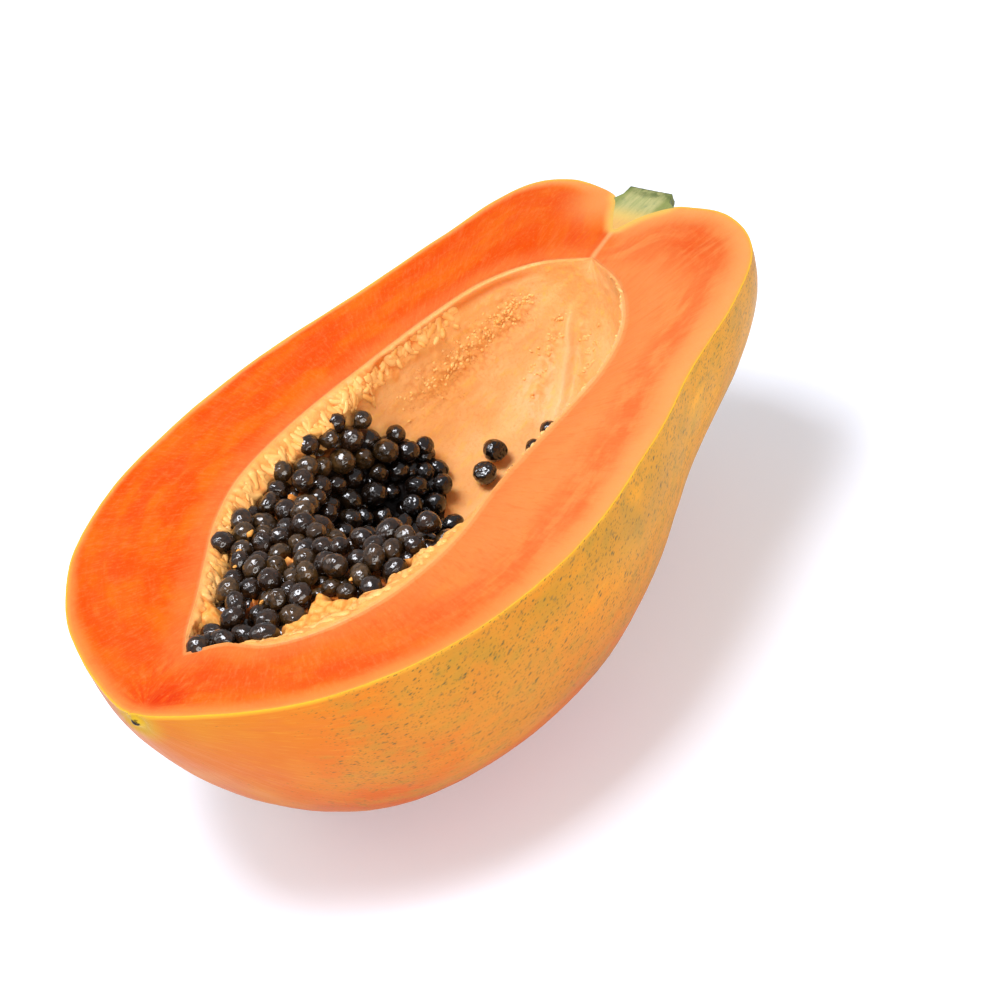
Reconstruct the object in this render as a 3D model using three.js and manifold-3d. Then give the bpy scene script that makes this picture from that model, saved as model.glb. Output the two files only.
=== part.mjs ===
// Half of a ripe papaya, cut through along its length and lying cut face up.
//
// The fruit is about 210 mm long: a blunt pear shape that is widest towards the blossom end and
// rises to rounded shoulders round the stem. The knife left a level face of flesh, a pointed seed
// cavity lined with placenta, the heap of seeds in its blossom half, a few loose seeds beside the
// heap and one half of the green stem stub in its pit.
//
// Fruit coordinates, in millimetres: x runs along the axis from the blossom tip to the stem,
// +y is the far rim, -y the near rim, and z = 0 is the cut face. The group that is exported is
// moved so that the part stands on z = 0, with its origin under the middle of its bounding box.

import * as THREE from 'three';
import { mergeVertices } from 'three/addons/utils/BufferGeometryUtils.js';
import Module from 'manifold-3d';

const wasm = await Module();
wasm.setup();

// ---- Driving dimensions ---------------------------------------------------------------------

// Outline of the cut fruit, from the blossom tip over the shoulders and down the stem pit:
// [x and y on the far rim, x and y on the near rim, depth of the section / its half width].
const SKIN_STATIONS = [
  [0, 0, 0, 0, 1.04],
  [2, 7, 2, -8, 1.05],
  [9, 21.5, 9, -24.5, 1.06],
  [22, 41.3, 22, -44.5, 1.07],
  [41, 57.6, 41, -59.4, 1.075],
  [64, 66, 64, -67.8, 1.045],
  [92, 68, 92, -70, 1.05],
  [121, 64.4, 121, -64.5, 1.055],
  [150, 56, 150, -55.8, 0.95],
  [178, 48.7, 178, -49.4, 0.86],
  [196, 44.2, 195, -42, 0.81],
  [206, 37.5, 203.5, -33, 0.8],
  [209.6, 28, 207.9, -22.5, 0.82],
  [208.4, 17.5, 207.6, -13.5, 0.94],
  [205.8, 10.6, 206.4, -8.2, 1],
  [200, 6.4, 201.4, -2.2, 1],
  [194, 2.2, 194, 2.2, 1],
];
const LOBES = 5; // the carpels show as soft lobes round the fruit
const LOBE_DEPTH = 0.014; // of the local radius
const SKIN_STEPS = 48;
const SKIN_SIDES = 44;
const FLAT_SPOT_TRIM = 1.1; // how much the fruit's own weight flattens it at its lowest point

// Rim of the seed cavity on the cut face: [far x, far y, near x, near y].
const CAVITY_STATIONS = [
  [22.4, 1.5, 22.4, 1.5],
  [28.5, 6.6, 28.4, -5.8],
  [39, 12.9, 31.6, -17.2],
  [51.3, 21, 41.5, -28],
  [64.4, 29.2, 57.5, -35.8],
  [80, 35, 78, -38.2],
  [103, 35.8, 101, -34.8],
  [129, 32.4, 127, -34.2],
  [150, 28.6, 146, -32.4],
  [165, 23.8, 161.5, -26.4],
  [176, 14.6, 175, -14.2],
  [182.2, 0.4, 182.2, 0.4],
];
const CAVITY_DEPTH_RATIO = 1.1; // depth of a section of the cavity / its half width
const CAVITY_STEPS = 58;
const CAVITY_SPANS = 26; // steps across the bowl, between its two lips
const LIP = { width: 0.9, drop: 0.5 }; // the thin torn edge that runs all round the cavity
const FAR_PLACENTA = { width: 3.6, drop: 4.6, from: 28, full: 46, fade: 108, to: 132 };
const NEAR_PLACENTA = { width: 6.4, drop: 1.5, from: 27, full: 42, fade: 72, to: 96 };
const PLACENTA_RIDGES = [38, 68, 103, 139]; // angles round the bowl, in degrees from the far rim
const RIDGE_HEIGHT = 1.3;
const RIDGE_FADE = 20; // half width of the cavity below which its ridges run out
const RIDGE_WIDTH = 9; // degrees
const TOOTH_PITCH = 8; // the placenta's edge is toothed, where it held the seeds
const TOOTH_DEPTH = 0.16; // of the placenta's width

// The stem stub, halved with the fruit. Its root fills the pit, and its end is cut square.
const PIT_MOUTH = 14 / 16; // share of the way along the fruit's outline, a station of it
const PIT_ROOT = 47 / 48;
const STEM_GAP = 0.3;
const STEM_END = { x: 211.5, y: 2.6, radius: 6.9 };
const STEM_NECK = { x: 208.2, y: 1.9, radius: 7.5 };

// Seeds in their slippery coats, heaped in the blossom half of the cavity. Places along the
// fruit are x, and places across the cavity are shares of its half width.
const SEED_RADIUS = { least: 2.75, most: 3.25 };
const SEED_LENGTHENING = 1.08;
const SEED_PITCH = 6.5; // from seed to seed in a row across the heap
const ROW_PITCH = 5.8;
const SEED_JITTER = 0.6;
const RANDOM_START = 20260;
const HEAP_START = 27;
const HEAP_EDGE = { far: 0.86, near: -0.8 };
const HEAP_FRONT = { x: 113, bulge: 19, at: 0.56, spread: 0.34 }; // it reaches out on the far side
const HEAP_NEAR_CUT = { from: -0.15, to: -0.8, back: 24 }; // and falls back on the near side
const HEAP_SLOPE = 9; // length over which the front of the heap runs out on the floor
const RIM_LEVEL = { near: 3, far: 6.4, from: 50, to: 80 }; // depth of its top seeds' centres
const HOLLOW = { opens: 60, full: 98, size: 0.83 }; // the heap is a bowl, open to the stem end
const CORE_SINK = 0.7; // the heap's body lies this far below the seeds' centres
const CORE_BASE = -60; // below the floor of the cavity, which then trims it
const CORE_STEPS = 12;
const CORE_SPANS = 10;
const WALL_GAP = 0.5; // left clear between the seeds and the wall of the cavity
const WALK_STEPS = 80; // steps in which a row of seeds is walked across the heap
const PUSH = 0.5; // a seed that would meet the wall moves in by this much
const MOST_PUSHES = 12; // and is left out after so many moves

// Loose seeds on the floor of the cavity: [x, share of the half width, turn in degrees].
const LOOSE_SEEDS = [
  [130, 0.26, 20],
  [136.5, 0.33, 75],
  [134.5, 0.07, 130],
  [143, 0.11, 35],
  [149, 0.1, 160],
];

const SHORTEST_EDGE = 0.02; // a shorter edge of a finished solid is closed up

const COLOURS = { flesh: 0xf27a2c, stem: 0xa9b35c, seed: 0x2a241c };

// ---- Small helpers --------------------------------------------------------------------------

const vec = (x, y, z) => new THREE.Vector3(x, y, z);
const curve = (points) => new THREE.CatmullRomCurve3(points);
const lerp = THREE.MathUtils.lerp;
const smoothstep = THREE.MathUtils.smoothstep;

// 0 outside from..to, 1 between full and fade.
function plateau(x, { from, full, fade, to }) {
  return smoothstep(x, from, full) * (1 - smoothstep(x, fade, to));
}

// Repeatable random numbers in 0..1.
function randomSource(start) {
  let state = start;
  return () => {
    state = (state * 16807) % 2147483647;
    return state / 2147483647;
  };
}

// Closed solid from rings of equal length, with a point at each end.
function loft(first, rings, last) {
  const count = rings[0].length;
  const points = [first, ...rings.flat(), last];
  const index = [];
  const at = (i, j) => 1 + i * count + (j % count);
  for (let j = 0; j < count; j++) {
    index.push(0, at(0, j), at(0, j + 1));
    index.push(points.length - 1, at(rings.length - 1, j + 1), at(rings.length - 1, j));
    for (let i = 0; i + 1 < rings.length; i++) {
      index.push(at(i, j), at(i + 1, j + 1), at(i, j + 1));
      index.push(at(i, j), at(i + 1, j), at(i + 1, j + 1));
    }
  }
  const geometry = new THREE.BufferGeometry().setFromPoints(points);
  geometry.setIndex(index);
  return geometry;
}

// Closed solid between a grid of points and the level of its base.
function pillar(tops, base) {
  const rows = tops.length;
  const columns = tops[0].length;
  const surface = tops.flat();
  const points = [...surface, ...surface.map((point) => point.clone().setZ(base))];
  const index = [];
  const quad = (a, b, c, d) => index.push(a, b, c, a, c, d);
  const top = (i, j) => i * columns + j;
  const low = (i, j) => surface.length + top(i, j);
  for (let i = 0; i + 1 < rows; i++) {
    for (let j = 0; j + 1 < columns; j++) {
      quad(top(i, j), top(i + 1, j), top(i + 1, j + 1), top(i, j + 1));
      quad(low(i, j), low(i, j + 1), low(i + 1, j + 1), low(i + 1, j));
    }
    quad(top(i, 0), low(i, 0), low(i + 1, 0), top(i + 1, 0));
    quad(top(i + 1, columns - 1), low(i + 1, columns - 1), low(i, columns - 1), top(i, columns - 1));
  }
  for (let j = 0; j + 1 < columns; j++) {
    quad(top(0, j + 1), low(0, j + 1), low(0, j), top(0, j));
    quad(top(rows - 1, j), low(rows - 1, j), low(rows - 1, j + 1), top(rows - 1, j + 1));
  }
  const geometry = new THREE.BufferGeometry().setFromPoints(points);
  geometry.setIndex(index);
  return geometry;
}

function toSolid(geometry) {
  const bare = geometry.clone();
  bare.deleteAttribute('normal');
  bare.deleteAttribute('uv');
  const merged = mergeVertices(bare, 1e-4);
  const mesh = new wasm.Mesh({
    numProp: 3,
    vertProperties: new Float32Array(merged.attributes.position.array),
    triVerts: new Uint32Array(merged.index.array),
  });
  return new wasm.Manifold(mesh);
}

// A solid's faces without the slivers that joins and cuts leave: every edge shorter than
// SHORTEST_EDGE is closed up.
function toGeometry(solid) {
  const mesh = solid.getMesh();
  const points = [];
  for (let i = 0; i < mesh.vertProperties.length; i += 3) {
    points.push(new THREE.Vector3().fromArray(mesh.vertProperties, i));
  }
  const kept = points.map((_, i) => i);
  const keptFor = (i) => (kept[i] === i ? i : keptFor(kept[i]));
  const corners = Array.from(mesh.triVerts);
  corners.forEach((corner, k) => {
    const next = corners[k % 3 === 2 ? k - 2 : k + 1];
    if (points[corner].distanceTo(points[next]) < SHORTEST_EDGE) {
      kept[keptFor(corner)] = keptFor(next);
    }
  });
  const faces = new Map();
  for (let k = 0; k < corners.length; k += 3) {
    const face = corners.slice(k, k + 3).map(keptFor);
    const key = [...face].sort().join();
    if (new Set(face).size < 3) continue;
    if (faces.has(key)) faces.delete(key);
    else faces.set(key, face);
  }
  const geometry = new THREE.BufferGeometry().setFromPoints(points);
  geometry.setIndex([...faces.values()].flat());
  geometry.computeVertexNormals();
  return geometry;
}

// The one body that a union is, with any pocket sealed inside it filled.
function outerBody(solid) {
  return solid.decompose().reduce((best, body) => (body.volume() > best.volume() ? body : best));
}

function block(low, high) {
  const size = vec(high[0] - low[0], high[1] - low[1], high[2] - low[2]);
  const geometry = new THREE.BoxGeometry(size.x, size.y, size.z);
  geometry.translate(low[0] + size.x / 2, low[1] + size.y / 2, low[2] + size.z / 2);
  return toSolid(geometry);
}

// Everything above the cut face, which the knife took away.
const removedHalf = () => block([-50, -150, 0], [300, 150, 200]);

function named(name, geometry, colour, roughness) {
  const material = new THREE.MeshStandardMaterial({ color: colour, roughness, metalness: 0 });
  const mesh = new THREE.Mesh(geometry, material);
  mesh.name = name;
  return mesh;
}

// ---- The fruit ------------------------------------------------------------------------------

// A section of a body that is given by its two rims: the middle of the section, the arm from
// there to the far rim, and the depth / half width ratio.
function sectionOf(farCurve, nearCurve, t) {
  const far = farCurve.getPoint(t);
  const near = nearCurve.getPoint(t);
  const middle = vec((far.x + near.x) / 2, (far.y + near.y) / 2, 0);
  const arm = vec((far.x - near.x) / 2, (far.y - near.y) / 2, 0);
  return { middle, arm, ratio: (far.z + near.z) / 2 };
}

const skinFar = curve(SKIN_STATIONS.map(([x, y, , , ratio]) => vec(x, y, ratio)));
const skinNear = curve(SKIN_STATIONS.map(([, , x, y, ratio]) => vec(x, y, ratio)));

function skinPoint(t, angle, inset = 0) {
  const { middle, arm, ratio } = sectionOf(skinFar, skinNear, t);
  const lobe = (Math.cos(LOBES * angle) - Math.cos(angle)) / 2;
  const swell = 1 + LOBE_DEPTH * lobe * Math.sin(Math.PI * t) ** 0.5;
  if (inset > 0) arm.setLength(arm.length() - inset);
  return middle
    .clone()
    .addScaledVector(arm, Math.cos(angle) * swell)
    .add(vec(0, 0, -arm.length() * ratio * Math.sin(angle) * swell));
}

const ring = (point) =>
  Array.from({ length: SKIN_SIDES }, (_, j) => point((2 * Math.PI * j) / SKIN_SIDES));

function wholeFruit() {
  const rings = [];
  for (let step = 1; step < SKIN_STEPS; step++) {
    rings.push(ring((angle) => skinPoint(step / SKIN_STEPS, angle)));
  }
  return toSolid(loft(skinPoint(0, 0), rings, skinPoint(1, 0)));
}

// ---- The seed cavity ------------------------------------------------------------------------

const cavityFar = curve(CAVITY_STATIONS.map(([x, y]) => vec(x, y, 0)));
const cavityNear = curve(CAVITY_STATIONS.map(([, , x, y]) => vec(x, y, 0)));

function cavitySection(t) {
  const { middle, arm } = sectionOf(cavityFar, cavityNear, t);
  return { middle, arm, depth: arm.length() * CAVITY_DEPTH_RATIO };
}

// How far the placenta stands in from one rim, and how low its inner edge lies.
function lipAt(x, placenta, room) {
  const share = plateau(x, placenta);
  const teeth = 1 + TOOTH_DEPTH * Math.sin((2 * Math.PI * x) / TOOTH_PITCH);
  return {
    width: Math.min(LIP.width + placenta.width * share * teeth, 0.3 * room),
    drop: Math.min(LIP.drop + placenta.drop * share, 0.3 * room),
  };
}

// Raised ridges where the seeds grew, running from end to end of the cavity.
function ridgeRise(degrees) {
  const shares = PLACENTA_RIDGES.map((ridge) => Math.exp(-(((degrees - ridge) / RIDGE_WIDTH) ** 2)));
  return RIDGE_HEIGHT * shares.reduce((sum, share) => sum + share);
}

// The lower half of a cavity section from the far rim to the near rim: lip, bowl and lip.
function cavityHalfRing(t, inset) {
  const { middle, arm, depth } = cavitySection(t);
  const half = arm.length();
  const across = arm.normalize();
  const far = lipAt(middle.x, FAR_PLACENTA, half);
  const near = lipAt(middle.x, NEAR_PLACENTA, half);
  const inner = Math.max(0.1 * half, half - inset);
  const points = [middle.clone().addScaledVector(across, inner)];
  for (let j = 0; j <= CAVITY_SPANS; j++) {
    const side = j / CAVITY_SPANS;
    const angle = Math.PI * side;
    const lip = angle < Math.PI / 2 ? far : near;
    const start = lerp(far.drop, near.drop, side);
    const rise = ridgeRise(side * 180) * Math.min(1, half / RIDGE_FADE) + inset;
    const fall = start + Math.max(0, depth - start - rise) * Math.sin(angle);
    const reach = Math.max(0.05 * half, inner - lip.width) * Math.cos(angle);
    points.push(middle.clone().addScaledVector(across, reach).setZ(-fall));
  }
  points.push(middle.clone().addScaledVector(across, -inner));
  return points;
}

// The space in the cavity, drawn in from its wall by the inset.
function cavityVoid(inset = 0) {
  const headroom = 6;
  const rings = [];
  for (let step = 1; step < CAVITY_STEPS; step++) {
    const half = cavityHalfRing(step / CAVITY_STEPS, inset);
    const tops = [half[half.length - 1], half[0]].map((rim) => rim.clone().setZ(headroom));
    rings.push([...half, ...tops]);
  }
  return toSolid(loft(cavityFar.getPoint(0), rings, cavityFar.getPoint(1)));
}

function papayaHalf() {
  const fruit = wholeFruit();
  const lowest = fruit.boundingBox().min[2];
  const floor = block([-50, -150, lowest - 10], [300, 150, lowest + FLAT_SPOT_TRIM]);
  const half = fruit.subtract(removedHalf()).subtract(cavityVoid()).subtract(floor);
  return named('papaya_half', toGeometry(half), COLOURS.flesh, 0.45);
}

// ---- The stem -------------------------------------------------------------------------------

function stem() {
  const rings = [];
  for (let step = PIT_ROOT * SKIN_STEPS; step >= PIT_MOUTH * SKIN_STEPS; step--) {
    rings.push(ring((angle) => skinPoint(step / SKIN_STEPS, angle, STEM_GAP)));
  }
  for (const { x, y, radius } of [STEM_NECK, STEM_END]) {
    rings.push(ring((angle) => vec(x, y + radius * Math.cos(angle), -radius * Math.sin(angle))));
  }
  const root = sectionOf(skinFar, skinNear, PIT_ROOT).middle;
  const end = vec(STEM_END.x, STEM_END.y, 0);
  const whole = toSolid(loft(root, rings, end));
  return named('stem', toGeometry(whole.subtract(removedHalf())), COLOURS.stem, 0.6);
}

// ---- The seeds ------------------------------------------------------------------------------

// The share of the way along the cavity's rim at which its section stands at x.
function alongAt(x) {
  let low = 0;
  let high = 1;
  for (let halving = 0; halving < 24; halving++) {
    const t = (low + high) / 2;
    if (cavitySection(t).middle.x < x) low = t;
    else high = t;
  }
  return low;
}

// How far along the cavity the heap reaches.
function heapEnd(share) {
  const reach = (share - HEAP_FRONT.at) / HEAP_FRONT.spread;
  const near = smoothstep(HEAP_NEAR_CUT.from - share, 0, HEAP_NEAR_CUT.from - HEAP_NEAR_CUT.to);
  return HEAP_FRONT.x + HEAP_FRONT.bulge * Math.exp(-(reach ** 2)) - HEAP_NEAR_CUT.back * near;
}

// The surface through the seeds' centres: level at the blossom end, then a deepening bowl.
function heapPoint(x, share) {
  const { middle, arm, depth } = cavitySection(alongAt(x));
  const point = middle.clone().addScaledVector(arm, share);
  const open = HOLLOW.size * smoothstep(x, HOLLOW.opens, HOLLOW.full);
  const inside = open > 0 ? 1 - (share / open) ** 2 : 0;
  const hollow = depth * open * Math.sqrt(Math.max(0, inside));
  const far = smoothstep(x, RIM_LEVEL.from, RIM_LEVEL.to) * smoothstep(share, -0.2, 0.4);
  const top = Math.max(lerp(RIM_LEVEL.near, RIM_LEVEL.far, far), hollow);
  const floor = depth * Math.sqrt(1 - share ** 2) - SEED_RADIUS.most;
  const runOut = smoothstep(x, heapEnd(share) - HEAP_SLOPE, heapEnd(share));
  return point.setZ(-lerp(top, Math.max(top, floor), runOut));
}

function seedShape(centre, radius, turns) {
  const shape = new THREE.OctahedronGeometry(radius, 1);
  shape.scale(SEED_LENGTHENING, 1, 1);
  shape.rotateZ(turns[0]);
  shape.rotateY(turns[1]);
  shape.translate(centre.x, centre.y, centre.z);
  return shape;
}

// One row of evenly spaced places across the heap, which the front of the heap cuts short.
function rowPlaces(x, offset) {
  const places = [];
  let before = heapPoint(x, HEAP_EDGE.near);
  let walked = 0;
  let next = offset;
  for (let step = 1; step <= WALK_STEPS; step++) {
    const share = lerp(HEAP_EDGE.near, HEAP_EDGE.far, step / WALK_STEPS);
    const here = heapPoint(x, share);
    const stride = here.distanceTo(before);
    while (walked + stride >= next) {
      if (x < heapEnd(share)) places.push(before.clone().lerp(here, (next - walked) / stride));
      next += SEED_PITCH;
    }
    walked += stride;
    before = here;
  }
  return places;
}

function seedPlaces() {
  const random = randomSource(RANDOM_START);
  const jitter = () => SEED_JITTER * (2 * random() - 1);
  const seeds = [];
  let offset = 0;
  for (let x = HEAP_START; x < HEAP_FRONT.x + HEAP_FRONT.bulge; x += ROW_PITCH) {
    for (const place of rowPlaces(x, offset)) {
      const centre = place.add(vec(jitter(), jitter(), jitter()));
      const radius = lerp(SEED_RADIUS.least, SEED_RADIUS.most, random());
      seeds.push({ centre, radius, turns: [Math.PI * random(), Math.PI * random()] });
    }
    offset = SEED_PITCH / 2 - offset;
  }
  return seeds;
}

// Everything below the heap's surface, down past the floor of the cavity.
function heapCore() {
  const tops = [];
  for (let i = 0; i <= CORE_STEPS; i++) {
    const line = [];
    for (let j = 0; j <= CORE_SPANS; j++) {
      const share = lerp(-1, 1, j / CORE_SPANS);
      const x = lerp(HEAP_START - 2, heapEnd(share), i / CORE_STEPS);
      line.push(heapPoint(x, share).sub(vec(0, 0, CORE_SINK)));
    }
    tops.push(line);
  }
  return toSolid(pillar(tops, CORE_BASE));
}

// A seed, pushed towards the cavity's axis until it is clear of the wall.
function fittedSeed({ centre, radius, turns }, space) {
  const axis = cavitySection(alongAt(centre.x)).middle;
  let place = centre;
  for (let push = 0; push < MOST_PUSHES; push++) {
    const seed = toSolid(seedShape(place, radius, turns));
    if (seed.subtract(space).isEmpty()) return seed;
    place = place.clone().add(axis.clone().sub(place).setLength(PUSH));
  }
  return null;
}

function seeds() {
  const space = cavityVoid(WALL_GAP);
  let heap = heapCore().intersect(space);
  for (const place of seedPlaces()) {
    const seed = fittedSeed(place, space);
    if (seed) heap = heap.add(seed);
  }
  return named('seeds', toGeometry(outerBody(heap)), COLOURS.seed, 0.3);
}

// A seed that rolled clear of the heap and lies against the cavity's wall.
function looseSeed([x, share, degrees], number) {
  const { middle, arm, depth } = cavitySection(alongAt(x));
  const angle = Math.acos(share);
  const radius = lerp(SEED_RADIUS.least, SEED_RADIUS.most, 0.5);
  const rise = ridgeRise(THREE.MathUtils.radToDeg(angle)) + radius * SEED_LENGTHENING + WALL_GAP;
  const place = middle.clone().addScaledVector(arm, share * (1 - rise / depth));
  place.setZ(-(depth - rise) * Math.sin(angle));
  const shape = seedShape(place, radius, [THREE.MathUtils.degToRad(degrees), 0]);
  return named(`loose_seed_${number}`, toGeometry(toSolid(shape)), COLOURS.seed, 0.3);
}

const papaya = new THREE.Group();
papaya.add(papayaHalf(), stem(), seeds());
LOOSE_SEEDS.forEach((place, index) => papaya.add(looseSeed(place, index + 1)));
papaya.updateMatrixWorld(true);
const box = new THREE.Box3().setFromObject(papaya);
papaya.position.set(-(box.min.x + box.max.x) / 2, -(box.min.y + box.max.y) / 2, -box.min.z);

export default papaya;
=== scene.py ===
"""Half a papaya lying cut face up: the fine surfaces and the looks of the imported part.

Shapes are made in fruit coordinates, in millimetres, as in the part: x runs from the blossom tip to
the stem, +y is the far rim, z = 0 is the cut face. in_frame() takes them to the shared frame, in
metres.
"""

import math
import random
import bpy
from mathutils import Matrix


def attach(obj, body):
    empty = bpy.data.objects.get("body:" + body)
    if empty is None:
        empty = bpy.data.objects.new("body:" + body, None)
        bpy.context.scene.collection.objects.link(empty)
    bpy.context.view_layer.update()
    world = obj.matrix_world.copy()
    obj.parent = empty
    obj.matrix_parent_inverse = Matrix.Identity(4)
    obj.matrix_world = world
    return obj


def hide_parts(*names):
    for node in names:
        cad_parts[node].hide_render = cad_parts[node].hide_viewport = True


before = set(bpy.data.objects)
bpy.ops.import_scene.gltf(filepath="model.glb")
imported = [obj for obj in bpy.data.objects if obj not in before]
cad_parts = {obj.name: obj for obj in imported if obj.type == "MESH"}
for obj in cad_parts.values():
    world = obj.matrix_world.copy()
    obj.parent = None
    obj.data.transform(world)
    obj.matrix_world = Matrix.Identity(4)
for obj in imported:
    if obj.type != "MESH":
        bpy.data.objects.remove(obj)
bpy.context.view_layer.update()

from types import SimpleNamespace

import bmesh
import bpy
import numpy as np
from mathutils import Matrix, Vector

MM = 0.001
FRUIT_ORIGIN = np.array([-105.75, 1.0369, 71.35])


def in_frame(points):
    return (np.asarray(points, float) + FRUIT_ORIGIN) * MM


# ---- Camera ----

AZIMUTH, ELEVATION, ROLL = (math.radians(degrees) for degrees in (-39.3, 34.7, -20.4))
DISTANCE = 1025.0
TARGET = (94.03, -39.44, 0.0)
LENS = 156.3
CLIP = (0.05, 30)


def view_axes():
    """The camera's right, up and back directions."""
    level = math.cos(ELEVATION)
    back = Vector((math.sin(AZIMUTH) * level, -math.cos(AZIMUTH) * level, math.sin(ELEVATION)))
    right = Vector((math.cos(AZIMUTH), math.sin(AZIMUTH), 0))
    up = back.cross(right)
    sine, cosine = math.sin(ROLL), math.cos(ROLL)
    return right * cosine + up * sine, up * cosine - right * sine, back


def add_object(name, data):
    made = bpy.data.objects.new(name, data)
    bpy.context.scene.collection.objects.link(made)
    return made


def add_camera():
    data = bpy.data.cameras.new("camera")
    camera = add_object("camera", data)
    right, up, back = view_axes()
    place = Vector(in_frame([TARGET])[0]) + back * DISTANCE * MM
    camera.matrix_world = Matrix.Translation(place) @ Matrix((right, up, back)).transposed().to_4x4()
    data.lens = LENS
    data.sensor_width = 36
    data.clip_start, data.clip_end = CLIP
    bpy.context.scene.camera = camera


add_camera()

# ---- The part's own dimensions, in millimetres ----

# [x and y on the far rim, x and y on the near rim, depth of the section / its half width]
SKIN_STATIONS = [
    (0, 0, 0, 0, 1.04),
    (2, 7, 2, -8, 1.05),
    (9, 21.5, 9, -24.5, 1.06),
    (22, 41.3, 22, -44.5, 1.07),
    (41, 57.6, 41, -59.4, 1.075),
    (64, 66, 64, -67.8, 1.045),
    (92, 68, 92, -70, 1.05),
    (121, 64.4, 121, -64.5, 1.055),
    (150, 56, 150, -55.8, 0.95),
    (178, 48.7, 178, -49.4, 0.86),
    (196, 44.2, 195, -42, 0.81),
    (206, 37.5, 203.5, -33, 0.8),
    (209.6, 28, 207.9, -22.5, 0.82),
    (208.4, 17.5, 207.6, -13.5, 0.94),
    (205.8, 10.6, 206.4, -8.2, 1),
    (200, 6.4, 201.4, -2.2, 1),
    (194, 2.2, 194, 2.2, 1),
]
LOBES = 5
LOBE_DEPTH = 0.014  # of the local radius
FLOOR_LEVEL = -FRUIT_ORIGIN[2]

# [far x, far y, near x, near y] on the rim of the seed cavity
CAVITY_STATIONS = [
    (22.4, 1.5, 22.4, 1.5),
    (28.5, 6.6, 28.4, -5.8),
    (39, 12.9, 31.6, -17.2),
    (51.3, 21, 41.5, -28),
    (64.4, 29.2, 57.5, -35.8),
    (80, 35, 78, -38.2),
    (103, 35.8, 101, -34.8),
    (129, 32.4, 127, -34.2),
    (150, 28.6, 146, -32.4),
    (165, 23.8, 161.5, -26.4),
    (176, 14.6, 175, -14.2),
    (182.2, 0.4, 182.2, 0.4),
]
CAVITY_DEPTH_RATIO = 1.1
LIP = {"width": 0.9, "drop": 0.5}
FAR_PLACENTA = {"width": 3.6, "drop": 4.6, "span": (28, 46, 108, 132)}
NEAR_PLACENTA = {"width": 6.4, "drop": 1.5, "span": (27, 42, 72, 96)}
PLACENTA_RIDGES = (38, 68, 103, 139)  # degrees round the bowl from the far rim
RIDGE_HEIGHT = 1.3
RIDGE_FADE = 20
RIDGE_WIDTH = 9
TOOTH_PITCH = 8
TOOTH_DEPTH = 0.16

PIT_MOUTH = 14 / 16
# [x, y, radius]
STEM_NECK = np.array([208.2, 1.9, 7.5])
STEM_END = np.array([211.5, 2.6, 6.9])

SEED_RADIUS = (2.75, 3.25)
LOOSE_RADIUS = sum(SEED_RADIUS) / 2
SEED_LENGTHENING = 1.08
HEAP_START = 27
HEAP_FRONT = {"x": 113, "bulge": 19, "at": 0.56, "spread": 0.34}
HEAP_NEAR_CUT = {"from": -0.15, "to": -0.8, "back": 24}
HEAP_SLOPE = 9
RIM_LEVEL = {"near": 3, "far": 6.4, "from": 50, "to": 80}
HOLLOW = {"opens": 60, "full": 98, "size": 0.83}
# [x, share of the half width]
LOOSE_SEEDS = [(130, 0.26), (136.5, 0.33), (134.5, 0.07), (143, 0.11), (149, 0.1)]

# ---- Mathematics ----


def smoothstep(x, low, high):
    share = np.clip((x - low) / (high - low), 0, 1)
    return share * share * (3 - 2 * share)


def lerp(a, b, share):
    return a + (b - a) * share


def plateau(x, span):
    """1 in the middle of a span of start, full, fade and end, with soft ends."""
    start, full, fade, end = span
    return smoothstep(x, start, full) * (1 - smoothstep(x, fade, end))


def bell(x, centre, width):
    return np.exp(-(((x - centre) / width) ** 2))


def unit(vectors):
    return vectors / np.maximum(np.linalg.norm(vectors, axis=-1, keepdims=True), 1e-9)


def along_line(line, walked, at):
    """The point of a line that lies a length along it, from the lengths of its points."""
    return np.stack([np.interp(at, walked, line[:, axis]) for axis in range(line.shape[1])], -1)


def arc_lengths(points):
    steps = np.linalg.norm(np.diff(points, axis=0), axis=-1)
    return np.concatenate([[0], np.cumsum(steps)])


def curve(points, t):
    """Centripetal Catmull-Rom curve through the points, at shares t of the way along them."""
    points = np.asarray(points, float)
    padded = np.vstack([2 * points[0] - points[1], points, 2 * points[-1] - points[-2]])
    t = np.asarray(t, float) * (len(points) - 1)
    first = np.minimum(t.astype(int), len(points) - 2)
    w = (t - first)[:, None]
    p = [padded[first + k] for k in range(4)]
    d = [np.maximum(((p[k + 1] - p[k]) ** 2).sum(1), 1e-12)[:, None] ** 0.25 for k in range(3)]
    start = (p[1] - p[0]) / d[0] - (p[2] - p[0]) / (d[0] + d[1]) + (p[2] - p[1]) / d[1]
    end = (p[2] - p[1]) / d[1] - (p[3] - p[1]) / (d[1] + d[2]) + (p[3] - p[2]) / d[2]
    start, end = start * d[1], end * d[1]
    cubic = 2 * p[1] - 2 * p[2] + start + end
    square = -3 * p[1] + 3 * p[2] - 2 * start - end
    return p[1] + start * w + square * w**2 + cubic * w**3


def lattice_random(i, j, k, seed):
    """Repeatable random numbers in 0..1 at whole-number places."""
    h = (i * 374761393 + j * 668265263 + k * 1274126177 + seed * 974634777) & 0x7FFFFFFF
    h = ((h ^ (h >> 13)) * 1103515245) & 0x7FFFFFFF
    h = ((h ^ (h >> 16)) * 12345 + h) & 0x7FFFFFFF
    return (h & 0xFFFFF) / 0xFFFFF


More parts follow.
